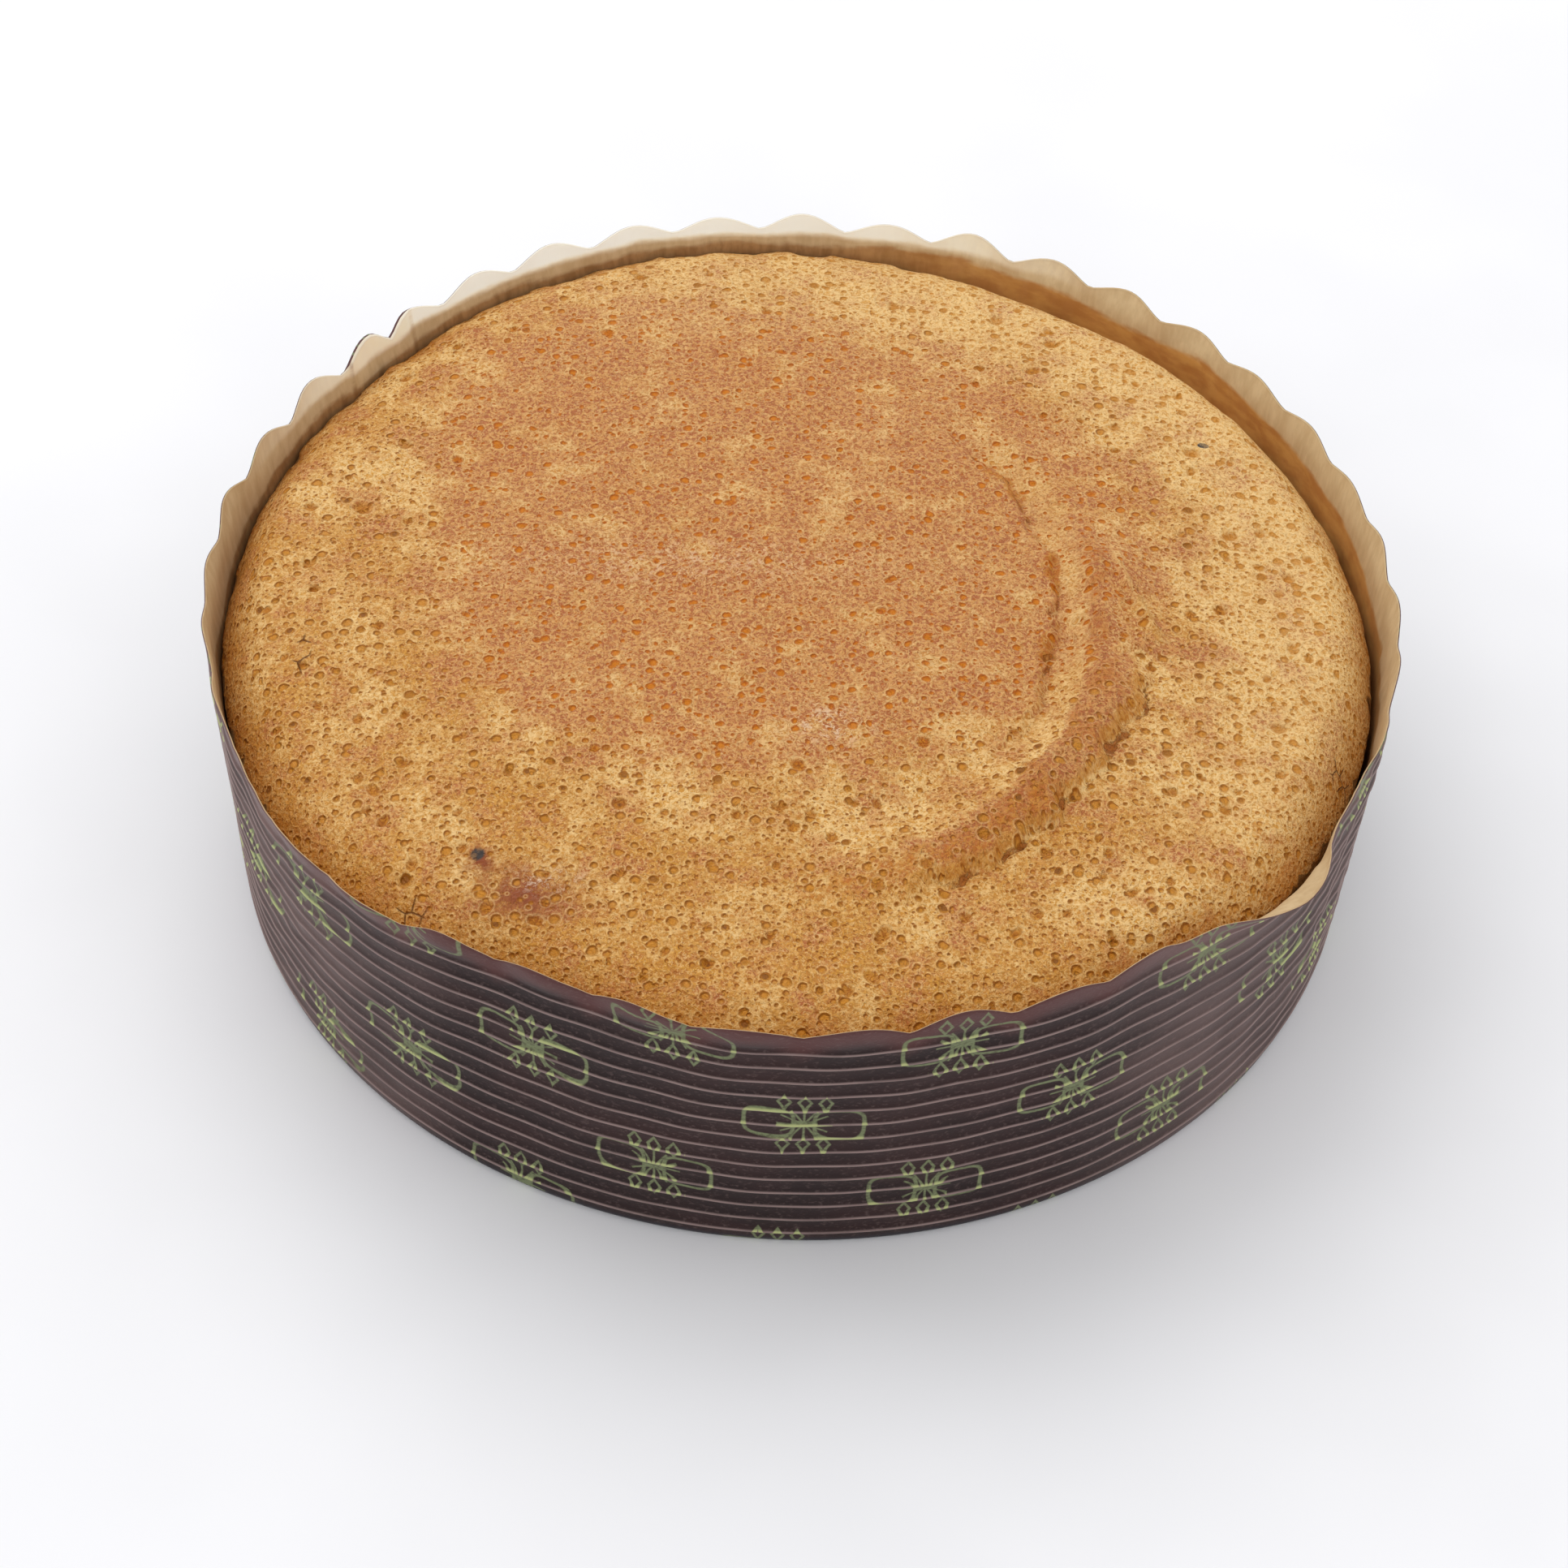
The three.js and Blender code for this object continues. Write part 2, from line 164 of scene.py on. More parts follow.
def around(x, y, middle_x, middle_y):
    """Degrees about a middle, and the distance from it."""
    dx, dy = x - middle_x, y - middle_y
    return np.degrees(np.arctan2(dy, dx)), np.hypot(dx, dy)


def gauss(distance, half):
    return np.exp(-((distance / half) ** 2))


def turn_between(degrees, middle):
    return (degrees - middle + 180) % 360 - 180


def hill(degrees, middle, half):
    t = np.clip(turn_between(degrees, middle) / half, -1, 1)
    return (1 - t * t) ** 2


def plateau(degrees, middle, half):
    t = np.clip(turn_between(degrees, middle) / half, -1, 1)
    return (1 - t**4) ** 2


def within_arc(degrees, start, end, fade):
    half = fade / 2
    return pulse(degrees, start - half, start + half, end - half, end + half)


def lumps(x, y, size, seed):
    """Smooth random lumps between -1 and 1, each about this many millimetres across."""
    table = np.random.default_rng(seed).uniform(-1, 1, (64, 64))
    u, v = x / size, y / size
    i, j = np.floor(u).astype(int), np.floor(v).astype(int)
    s, t = ease(0, 1, u - i), ease(0, 1, v - j)
    near = table[i % 64, j % 64] * (1 - s) + table[(i + 1) % 64, j % 64] * s
    far = table[i % 64, (j + 1) % 64] * (1 - s) + table[(i + 1) % 64, (j + 1) % 64] * s
    return near * (1 - t) + far * t


# ---- shape of the paper band ----


def band_radius(degrees, z):
    height = z / WALL_HEIGHT
    swell = sum(amount * hill(degrees, middle, half) for middle, half, amount in RIM_SWELLS)
    cone = BASE_RADIUS + (RIM_RADIUS - BASE_RADIUS) * height
    return cone + swell * np.maximum(height, 0) ** 1.5


def seam_step(degrees):
    """1 where the band's other end is lapped inside."""
    start = ease(SEAM_FROM, SEAM_FROM + SEAM_EDGE, degrees)
    return start - ease(SEAM_TO, SEAM_TO + SEAM_EDGE, degrees)


def scallop_phase(degrees):
    """How many scallops lie between the first one and this direction."""
    stretched = degrees - 0.8 - 1.5 * np.cos(np.radians(degrees - 330))
    along = (stretched - SCALLOP_FROM) % 360
    last = (SCALLOP_COUNT - 1) * SCALLOP_PITCH
    past = SCALLOP_COUNT - 1 + (along - last) / (360 - last)
    return np.where(along > last, past, along / SCALLOP_PITCH)


def scallop_wave(degrees):
    return (0.5 + 0.5 * np.cos(2 * np.pi * scallop_phase(degrees))) ** 0.62


def scallop_rise(degrees):
    """Height of the scalloped edge over its valleys: low at the right, highest at the front."""
    full = 2.2 - 1.2 * plateau(degrees, 32, 46) + 1.1 * hill(degrees, 149, 20)
    full = full - 1.0 * plateau(degrees, 190, 26) + 2.1 * plateau(degrees, 262, 50)
    off_seam = 1 - hill(degrees, SCALLOP_FROM, 8)
    uneven = 1 + 0.15 * lumps(scallop_phase(degrees), degrees * 0, 1, 61) * off_seam
    return full * uneven * (1 - plateau(degrees, FLAT_MIDDLE, FLAT_HALF)) * scallop_wave(degrees)


def scallop_lean(degrees):
    full = SCALLOP_LEAN + (BENT_LEAN - SCALLOP_LEAN) * hill(degrees, BENT_MIDDLE, BENT_HALF)
    full = full + 1.5 * plateau(degrees, 248, 34)
    return full * scallop_wave(degrees)


def rim_fold(degrees):
    """1 where the rim at the front right is folded outwards and shows its inner face."""
    return hill(degrees, 320.5, 9)


def paper_waver(degrees, z):
    """Faint buckles of the paper, stronger towards its top and at the crumpled front right."""
    broad = 0.16 * np.sin(np.radians(degrees * 23) + z * 0.05)
    slanting = 0.12 * np.sin(np.radians(degrees * 41) - z * 0.16 + 1.3)
    crumpled = hill(degrees, 333, 20) + 0.7 * hill(degrees, 214, 22)
    kinks = lumps(degrees * 1.7, z, 4.2, 71) + 0.6 * lumps(degrees * 1.7 + z * 0.4, z * 0.5, 1.9, 72)
    return (broad + slanting) * (0.3 + 0.7 * z / WALL_HEIGHT) + 0.22 * crumpled * kinks


# ---- shape of the cake ----


def cake_radius(degrees, z):
    shrink = CAKE_SHRINK * plateau(degrees, SHRINK_MIDDLE, SHRINK_HALF)
    lap = SEAM_THICKNESS * plateau(degrees, (SEAM_FROM + SEAM_TO) / 2, SEAM_TO - SEAM_FROM)
    return band_radius(degrees, z) - WALL_THICKNESS - CASE_GAP - lap - shrink


def edge_height(degrees):
    return EDGE_LOW + EDGE_BACK * plateau(degrees, 118, 62) + EDGE_FRONT * plateau(degrees, 265, 80)


def swells(x, y):
    broad = 0.5 * np.sin(x / 17 + 0.6) * np.cos(y / 21 - 0.4)
    return broad + 0.25 * np.sin(x / 7.3 + 1.9) * np.sin(y / 8.1 + 0.7)


def dome_height(reach, degrees):
    """Height of the crust without its shoulder, lip, groove and pits."""
    return CENTRE_HEIGHT - DOME_FALL * (reach / cake_radius(degrees, edge_height(degrees))) ** 2


def crust_height(x, y):
    """Height of the crust without its lip, groove and pits."""
    degrees, reach = around(x, y, 0, 0)
    edge = edge_height(degrees)
    inside = cake_radius(degrees, edge) - reach
    drop = CENTRE_HEIGHT - DOME_FALL - edge
    shoulder = drop * np.clip(1 - inside / SHOULDER_WIDTH, 0, 1) ** SHOULDER_POWER
    return dome_height(reach, degrees) - shoulder + ease(0, 6, inside) * swells(x, y)


def lip_place(x, y):
    """Degrees about the lip's centre, and the distance outwards from its edge."""
    degrees, reach = around(x, y, LIP_X, LIP_Y)
    edge = LIP_RADIUS + 0.8 * np.sin(degrees * 0.41) + 0.5 * np.sin(degrees * 0.93 + 1)
    return degrees, reach - edge - 3 * ease(-7, 3, degrees)


def step_place(x, y):
    """Degrees about the inner step's centre, and the distance outwards from its ragged edge."""
    degrees, reach = around(x, y, GROOVE_X, GROOVE_Y)
    ragged = 1.6 * lumps(degrees, degrees * 0, 4.3, 33) + 0.8 * lumps(degrees, degrees * 0, 1.3, 34)
    return degrees, reach - GROOVE_RADIUS - ragged


def crease(x, y, sizes):
    """Height of the torn fold, where its ridge, facet, slope, rims and gaps are, and its painted shade
    and highlight.
    """
    turn, out = lip_place(x, y)
    tear = 0.9 * lumps(x, y, 2.4, 31) + 1.1 * lumps(turn, turn * 0, 6.5, 32)
    tear = tear + 0.4 * lumps(x, y, 1.2, 35)
    torn = out - tear * ease(-7, -1, out)
    along = within_arc(turn, LIP_FROM, LIP_TO, LIP_FADE)
    steep = pulse(turn, -78, -56, -10, -2)
    roll = 5.3 + 3.5 * (1 - steep)
    rounded = 1 - np.clip((torn + 4.5) / roll, 0, 1) ** (1.4 + 3.2 * steep)
    lip = sizes.lip_height / MM * ease(-LIP_SLOPE - 3, -4.5, out) * rounded
    lip = lip * along * (0.6 + 0.4 * steep)
    broken = np.clip(0.75 + 0.7 * lumps(x, y, 3.4, 38), 0, 1)
    shadow = gauss(torn - 1.3, 0.8) * along * steep * broken

    ridge_turn, reach = around(x, y, RIDGE_X, RIDGE_Y)
    off_ridge, ridge_along = reach - RIDGE_RADIUS, within_arc(ridge_turn, -44, 20, 14)
    swell = 0.7 + 0.5 * lumps(x, y, 7, 36)
    ridge = gauss(off_ridge, 2.5) * ridge_along
    flush = gauss(off_ridge + 1.2 * lumps(x, y, 3.1, 39), 2.1) * ridge_along
    run, off_fold = (x - 50) * 0.37 - (y - 8) * 0.93, (x - 50) * 0.93 + (y - 8) * 0.37
    small_fold = pulse(off_fold, -1.6, 0, 0.2, 1.1) * pulse(run, 0, 5, 18, 21)
    streak = gauss(y + 12.2 - 0.1 * (x - 60), 1.9) * pulse(x, 50, 55, 66, 74)

    step_turn, off_step = step_place(x, y)
    step_along = within_arc(step_turn, GROOVE_FROM, GROOVE_TO, GROOVE_FADE)
    drop = pulse(off_step, -0.7, 0.5, 0.5, 8.5) * step_along
    # painted shade along the ragged inner step, where the crust drops
    line = gauss(off_step - 0.1, 0.7) * step_along * np.clip(0.65 + lumps(x, y, 3.6, 37), 0, 1)
    facet = pulse(off_step, 0.6, 2, 4.5, 9) * step_along

    height = lip + sizes.ridge_height / MM * ridge * swell - sizes.groove_depth / MM * drop
    height = height + 1.2 * small_fold - 0.6 * shadow
    rim = pulse(torn, -7.5, -4.5, -1.2, 0) * within_arc(turn, -66, -8, 14)
    reddish = np.clip(flush * (0.8 + 0.4 * swell) + 0.75 * streak + 0.9 * rim, 0, 1)
    # painted highlight along the small fold's raised edge, with painted shadow beside it
    fold_highlight = gauss(off_fold - 0.1, 0.6) * pulse(run, 0, 4, 18, 20)
    fold_shadow = gauss(off_fold - 1.3, 0.5) * pulse(run, 3, 7, 18, 20)
    slope = pulse(torn, -1.9, -0.5, 0.4, 1.2) * along * (0.3 + 0.7 * steep)
    low_rim = pulse(torn, -6.5, -3.5, -1.4, 0) * within_arc(turn, -84, -34, 14)
    ember = spot(x, y, 31, 28, 3.2, 2.2) + spot(x, y, 35, 23.5, 1.8, 2.2)
    ember = ember + spot(x, y, 40.4, 4.5, 1.5, 4.5) + spot(x, y, 39, -14, 1.4, 3.5)
    ember = ember + 0.8 * low_rim + 0.5 * gauss(off_step, 1.8) * step_along
    # the facet mark also carries the painted highlight of the small fold
    marks = {"reddish": reddish * (1 - fold_highlight), "facet": facet + fold_highlight, "slope": slope}
    # the dark mark is painted shade: the shadow under the torn edge, the step's crevice and beside the
    # small fold
    return height, marks | {"ember": ember, "dark": shadow + 0.9 * line + 0.7 * fold_shadow}


def spot(x, y, middle_x, middle_y, half_x, half_y):
    return np.exp(-(((x - middle_x) / half_x) ** 2) - ((y - middle_y) / half_y) ** 2)


# ---- bubbles in the crust ----


def draws(seed):
    state = seed
    while True:
        state = state * 16807 % 2147483647
        yield state / 2147483647


def scattered(draw, widest):
    reach = widest * math.sqrt(next(draw))
    turn = 2 * math.pi * next(draw)
    return reach * math.cos(turn), reach * math.sin(turn)


def off_the_lip(x, y):
    return abs(math.hypot(x - LIP_X, y - LIP_Y) - LIP_RADIUS + LIP_SLOPE / 2) > LIP_SLOPE


def bubble_holes():
    """The largest holes, at the places where the solid has them."""
    draw = draws(HOLE_SEED)
    holes = []
    while len(holes) < HOLE_COUNT:
        x, y = scattered(draw, BASE_RADIUS - 8)
        radius = HOLE_SMALLEST + (HOLE_LARGEST - HOLE_SMALLEST) * next(draw) ** 2
        apart = all(math.hypot(a - x, b - y) > r + radius + 2 for a, b, r in holes)
        if apart and off_the_lip(x, y):
            holes.append((x, y, radius))
    return holes


def larger_pits(holes, sizes):
    """Pits between the holes, more of them towards the front and the sides."""
    draw = draws(sizes.pit_seed)
    pits = [(x, y, radius * 0.82) for x, y, radius in holes]
    while len(pits) < len(holes) + sizes.pit_count:
        x, y = scattered(draw, BASE_RADIUS - 3)
        radius = 0.8 + 0.5 * next(draw) ** 1.6
        smooth_centre = math.exp(-(((x + 2) / 48) ** 2) - ((y - 18) / 42) ** 2)
        if next(draw) < 0.5 * smooth_centre:
            continue
        if all(math.hypot(a - x, b - y) > r + radius + 0.4 for a, b, r in pits):
            pits.append((x, y, radius))
    return pits


# ---- meshes ----


def mesh_piece(name, mesh, materials):
    piece = bpy.data.objects.new(name, mesh)
    bpy.context.scene.collection.objects.link(piece)
    for material in materials:
        mesh.materials.append(material)
    mesh.polygons.foreach_set("use_smooth", np.ones(len(mesh.polygons), bool))
    mesh.update()
    return piece


def form_mesh(form, name):
    mesh = bpy.data.meshes.new(name)
    form.to_mesh(mesh)
    form.free()
    return mesh


def read_points(mesh):
    flat = np.empty(len(mesh.vertices) * 3)
    mesh.vertices.foreach_get("co", flat)
    return flat.reshape(-1, 3)


def write_points(mesh, x, y, z):
    """Millimetres about the case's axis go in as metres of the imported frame."""
    points = np.stack([x + AXIS_X, y + AXIS_Y, z], axis=1) * MM
    mesh.vertices.foreach_set("co", points.astype(np.float32).ravel())


def write_values(mesh, **named):
    for name, values in named.items():
        layer = mesh.attributes.new(name, "FLOAT", "POINT")
        layer.data.foreach_set("value", values.astype(np.float32))


def disc_from_square(a, b):
    """Share of the radius and direction for points of the square from -1 to 1."""
    wide = np.abs(a) > np.abs(b)
    reach = np.where(wide, a, b)
    safe = np.where(reach == 0, 1, reach)
    turn = np.where(wide, b / safe * 45, 90 - a / safe * 45)
    turn = np.where(reach < 0, turn + 180, turn)
    return np.abs(reach), turn


def crust_blank():
    """A square sheet with its sides turned down in steps and closed to a point below."""
    form = bmesh.new()
    bmesh.ops.create_grid(form, x_segments=CRUST_STEPS, y_segments=CRUST_STEPS, size=1.0)
    rim = [edge for edge in form.edges if edge.is_boundary]
    for level in range(1, len(SIDE_LEVELS) + 4):
        grown = bmesh.ops.extrude_edge_only(form, edges=rim)["geom"]
        corners = [part for part in grown if isinstance(part, bmesh.types.BMVert)]
        for corner in corners:
            corner.co.z = -level
        rim = [part for part in grown if isinstance(part, bmesh.types.BMEdge) and part.is_boundary]
    bmesh.ops.pointmerge(form, verts=corners, merge_co=(0, 0, -level))
    bmesh.ops.recalc_face_normals(form, faces=form.faces)
    return form_mesh(form, "cake")


def blush_edge(turn):
    """Radius of the reddish middle of the crust, about its own centre."""
    lobe = 12 * hill(turn, 137, 42) + 3 * np.cos(np.radians(turn * 3 + 20))
    return 59 + lobe - 3 * hill(turn, 262, 50)


def sink_pits(x, y, top, blush, sizes):
    """How deep the pits are, how far inside one a point lies, and a random tone for each."""
    pit = np.full(len(x), NO_PIT)
    tone = np.zeros(len(x))
    sunk = np.zeros(len(x))
    draw = draws(sizes.pit_seed + 77)
    for px, py, size in larger_pits(bubble_holes(), sizes):
        close = (np.abs(x - px) < size * 2.2) & (np.abs(y - py) < size * 2.2) & top
        aim, stretch = math.pi * next(draw), 1 + 0.4 * next(draw) ** 2
        darkness, steepness = next(draw), next(draw)
        dx, dy = x[close] - px, y[close] - py
        if not len(dx):
            continue
        flatness = float(np.mean(blush[close]))
        size *= 1 - 0.35 * flatness
        long = (dx * math.cos(aim) + dy * math.sin(aim)) / stretch
        wide = (dy * math.cos(aim) - dx * math.sin(aim)) * math.sqrt(stretch)
        u = np.hypot(long, wide) / size
        depth = size * (0.52 - 0.26 * flatness) * (0.7 + 0.6 * steepness)
        sunk[close] = np.maximum(sunk[close], depth * np.clip(1 - u**4, 0, 1))
        tone[close] = np.where(1 - u > pit[close], darkness, tone[close])
        pit[close] = np.maximum(pit[close], 1 - u)
    return sunk, pit, tone


def shape_crust(mesh, sizes):
    """Moves the blank's points to the crust and its sides, and notes where its finishes go."""
    a, b, level = read_points(mesh).T
    share, degrees = disc_from_square(a, b)
    edge = edge_height(degrees)
    radius = cake_radius(degrees, edge) * share
    inside = cake_radius(degrees, edge) - radius
    border = 1 - ease(0, 5, inside)
    nibbled = lumps(degrees * 1.6, radius, 2.7, 14) + 0.8 * lumps(degrees * 1.6, radius, 1.3, 15)
    radius = radius - 0.75 * np.clip(nibbled, 0, 2) * border
    x, y = polar(radius, degrees)
    top = level > -0.5

    fold, marks = crease(x, y, sizes)
    foam = 0.22 * lumps(x, y, 5.5, 11) + 0.14 * lumps(x, y, 2.6, 12) + 0.08 * lumps(x, y, 1.4, 13)
    blush_turn, reach = around(x, y, BLUSH_X, BLUSH_Y)
    blush = 1 - ease(-14, 12, reach - blush_edge(blush_turn))
    sunk, pit, tone = sink_pits(x, y, top, blush, sizes)
    lumpier = 1 + 1.4 * border + 1.3 * np.clip(marks["reddish"], 0, 1)
    z = crust_height(x, y) + fold + foam * lumpier - sunk

    scorch = spot(x, y, -40, -70.5, 7.5, 5) + spot(x, y, -47, -64, 2.6, 2.4)
    # a whitish dry film on the crust; the broad patch left of the middle is also a painted highlight on
    # its gloss
    film = spot(x, y, -36.5, -67.5, 5, 2.2) + spot(x, y, 5, -34, 6, 4)
    film = film + 0.5 * spot(x, y, -20, 2, 30, 6)
    speck = 1.3 * spot(x, y, 66.7, 40.7, 1.0, 0.8) + 0.8 * spot(x, y, -47.5, -62.5, 1.5, 1.7)
    cracks = spot(x, y, -79, -20, 1.6, 5) + spot(x, y, 86, -31.5, 2.5, 2.8)
    cracks = cracks + spot(x, y, -57, -72, 3, 2.4)

    # sides, foot and underside
    heights = [edge * part for part in SIDE_LEVELS]
    heights += [np.full(len(x), CAKE_FLOOR + FOOT_ROUND), np.full(len(x), CAKE_FLOOR)]
    for step, height in enumerate(heights, start=1):
        ring = np.abs(level + step) < 0.5
        reach = cake_radius(degrees, height) - (FOOT_ROUND if step == len(heights) else 0)
        ring_x, ring_y = polar(reach, degrees)
        x, y, z = np.where(ring, ring_x, x), np.where(ring, ring_y, y), np.where(ring, height, z)
    pole = level < -len(heights) - 0.5
    x, y, z = np.where(pole, 0, x), np.where(pole, 0, y), np.where(pole, CAKE_FLOOR, z)
    write_points(mesh, x, y, z)

    pit, inside = np.where(top, pit, NO_PIT), np.where(top, inside, 0)
    slide = 0.7 * np.maximum(dome_height(radius, degrees) - crust_height(x, y), 0) * top
    slide_x, slide_y = polar(slide, degrees)
    write_values(mesh, pit=pit, pit_tone=tone, open_top=top, inside=inside)
    write_values(mesh, slide_x=slide_x, slide_y=slide_y)
    # painted light: the outer crust at the right and back right is made paler, as its steep shoulder
    # turns from the lamp
    paler = ease(58, 84, radius) * plateau(degrees, 38, 92)
    duller = ease(48, 70, radius) * plateau(degrees, 240, 80)
    marks |= {"blush": blush, "paler": paler, "duller": duller}
    marks |= {"scorch": scorch, "film": film, "speck": speck, "cracks": cracks}
    write_values(mesh, **{name: np.clip(values, 0, 1) * top for name, values in marks.items()})


def band_heights():
    """Heights of the band's outer rings, close together over each rib."""
    heights = [0, 0.35, 0.75, BOTTOM_ROUND]
    for rib in range(RIB_COUNT):
        crest = RIB_FIRST + rib * RIB_PITCH
        heights += [crest + offset for offset in RIB_RINGS]
    return heights


def band_blank(rows):
    """A ring with round section: a sheet bent round the band and round its section."""
    form = bmesh.new()
    bmesh.ops.create_grid(form, x_segments=CASE_COLUMNS, y_segments=rows, size=1.0)
    for corner in form.verts:
        turn, tip = math.pi * (1 + corner.co.x), math.pi * (1 + corner.co.y)
        reach = 3 + math.cos(tip)
        corner.co = (reach * math.cos(turn), reach * math.sin(turn), math.sin(tip))
    bmesh.ops.remove_doubles(form, verts=form.verts, dist=1e-4)
    bmesh.ops.recalc_face_normals(form, faces=form.faces)
    return form_mesh(form, "case_band")


def oil_line(degrees):
    """How high fat from the cake has soaked up the inside of the paper."""
    bare = edge_height(degrees) + 1.2 + 0.8 * lumps(degrees, degrees * 0, 9, 51)
    return bare + 5.6 * hill(degrees, 50, 54)


def shape_band(mesh, heights, rows, sizes):
    """Moves the blank ring's points to the ribbed, scalloped band."""
    a, b, c = read_points(mesh).T
    degrees = np.degrees(np.arctan2(b, a)) % 360
    row = np.round(np.arctan2(c, np.hypot(a, b) - 3) / (2 * np.pi) * rows) % rows
    rim_row = len(heights) + TOP_RINGS
    outer, middle = row < rim_row, row == rim_row
    last = heights[-1]
    fold = rim_fold(degrees)
    tip = WALL_HEIGHT + scallop_rise(degrees) - 1.2 * fold

    outer_z = np.interp(row, np.arange(len(heights)), heights)
    share = np.clip((row - (len(heights) - 1)) / TOP_RINGS, 0, 1)
    outer_z = np.where(row > len(heights) - 1, last + (tip - last) * share, outer_z)
    inner_share = 1 - np.clip((row - rim_row - 1) / (rows - rim_row - 2), 0, 1)
    inner_z = tip * np.sin(inner_share * np.pi / 2) ** 0.8
    z = np.where(outer, outer_z, np.where(middle, tip + 0.1, inner_z))

    off_crest = np.abs((z - RIB_FIRST + RIB_PITCH / 2) % RIB_PITCH - RIB_PITCH / 2)
    on_ribs = pulse(z, 1.4, 2.2, last - 0.2, last + 0.6)
    crest = gauss(off_crest, 0.38) * on_ribs
    pressed = 1 - gauss(off_crest, 0.9)
    outside = band_radius(degrees, z) + sizes.rib_depth / MM * crest - 0.12 * pressed * on_ribs
    outside -= BOTTOM_ROUND * 0.4 * (1 - np.clip(z / BOTTOM_ROUND, 0, 1)) ** 2
    thinner = (WALL_THICKNESS - 0.36) * ease(-1, 4, z - edge_height(degrees))
    thickness = WALL_THICKNESS + SEAM_THICKNESS * seam_step(degrees) - thinner
    inside = band_radius(degrees, z) - thickness
    waver = paper_waver(degrees, z) * ease(0, 9, z)
    lean = scallop_lean(degrees) * ease(WALL_HEIGHT - 4, WALL_HEIGHT + 3, z) * 1.25
    lean = lean + 4.2 * fold * ease(WALL_HEIGHT - 6, WALL_HEIGHT, z) ** 1.5
    radius = np.where(outer, outside, np.where(middle, (outside + inside) / 2, inside))
    radius = radius + lean + waver
    write_points(mesh, *polar(radius, degrees), z)

    lapped = np.abs(turn_between(degrees, (SEAM_FROM + SEAM_TO) / 2))
    amber, lit = plateau(degrees, 38, 55), plateau(degrees, 112, 56)
    # painted sheen on the band's left and right sides
    sheen = plateau(degrees, 330, 34) + plateau(degrees, 205, 36)
    write_values(mesh, crest=crest * outer, below_tip=tip - z, above_oil=z - oil_line(degrees))
    write_values(mesh, lapped=lapped, amber=amber, lit=lit, sheen=sheen)

    # faces with no corner on the outside show bare kraft
    corners = np.empty(len(mesh.loops), int)
    mesh.loops.foreach_get("vertex_index", corners)
    bare = ~outer[corners.reshape(-1, 4)].any(axis=1)
    mesh.polygons.foreach_set("material_index", bare.astype(int))


# ---- finishes ----


def tone(red, green, blue):
    """A colour as it is seen, from 0 to 255, as the linear colour that nodes take."""
    seen = [part / 255 for part in (red, green, blue)]
    return tuple(s / 12.92 if s <= 0.04045 else ((s + 0.055) / 1.055) ** 2.4 for s in seen) + (1,)


def node_maths(operation):
    def work(first, *others):
        return first.finish.maths(operation, first, *others)

    return work


class Amount:
    """A number that nodes work out over the surface, for plain arithmetic on it."""

    def __init__(self, finish, socket):
        self.finish = finish
        self.socket = socket

    def __rsub__(self, other):
        return self.finish.maths("SUBTRACT", other, self)

    __add__, __sub__ = node_maths("ADD"), node_maths("SUBTRACT")
    __mul__, __truediv__ = node_maths("MULTIPLY"), node_maths("DIVIDE")
    low, high = node_maths("MINIMUM"), node_maths("MAXIMUM")
    __abs__, rounded = node_maths("ABSOLUTE"), node_maths("ROUND")

    def step(self, start, end, low=0.0, high=1.0):
        """Runs smoothly from low to high as the number goes from start to end."""
        node = self.finish.add("MapRange", interpolation_type="SMOOTHSTEP")
        return Amount(self.finish, self.finish.result(node, self, start, end, low, high))


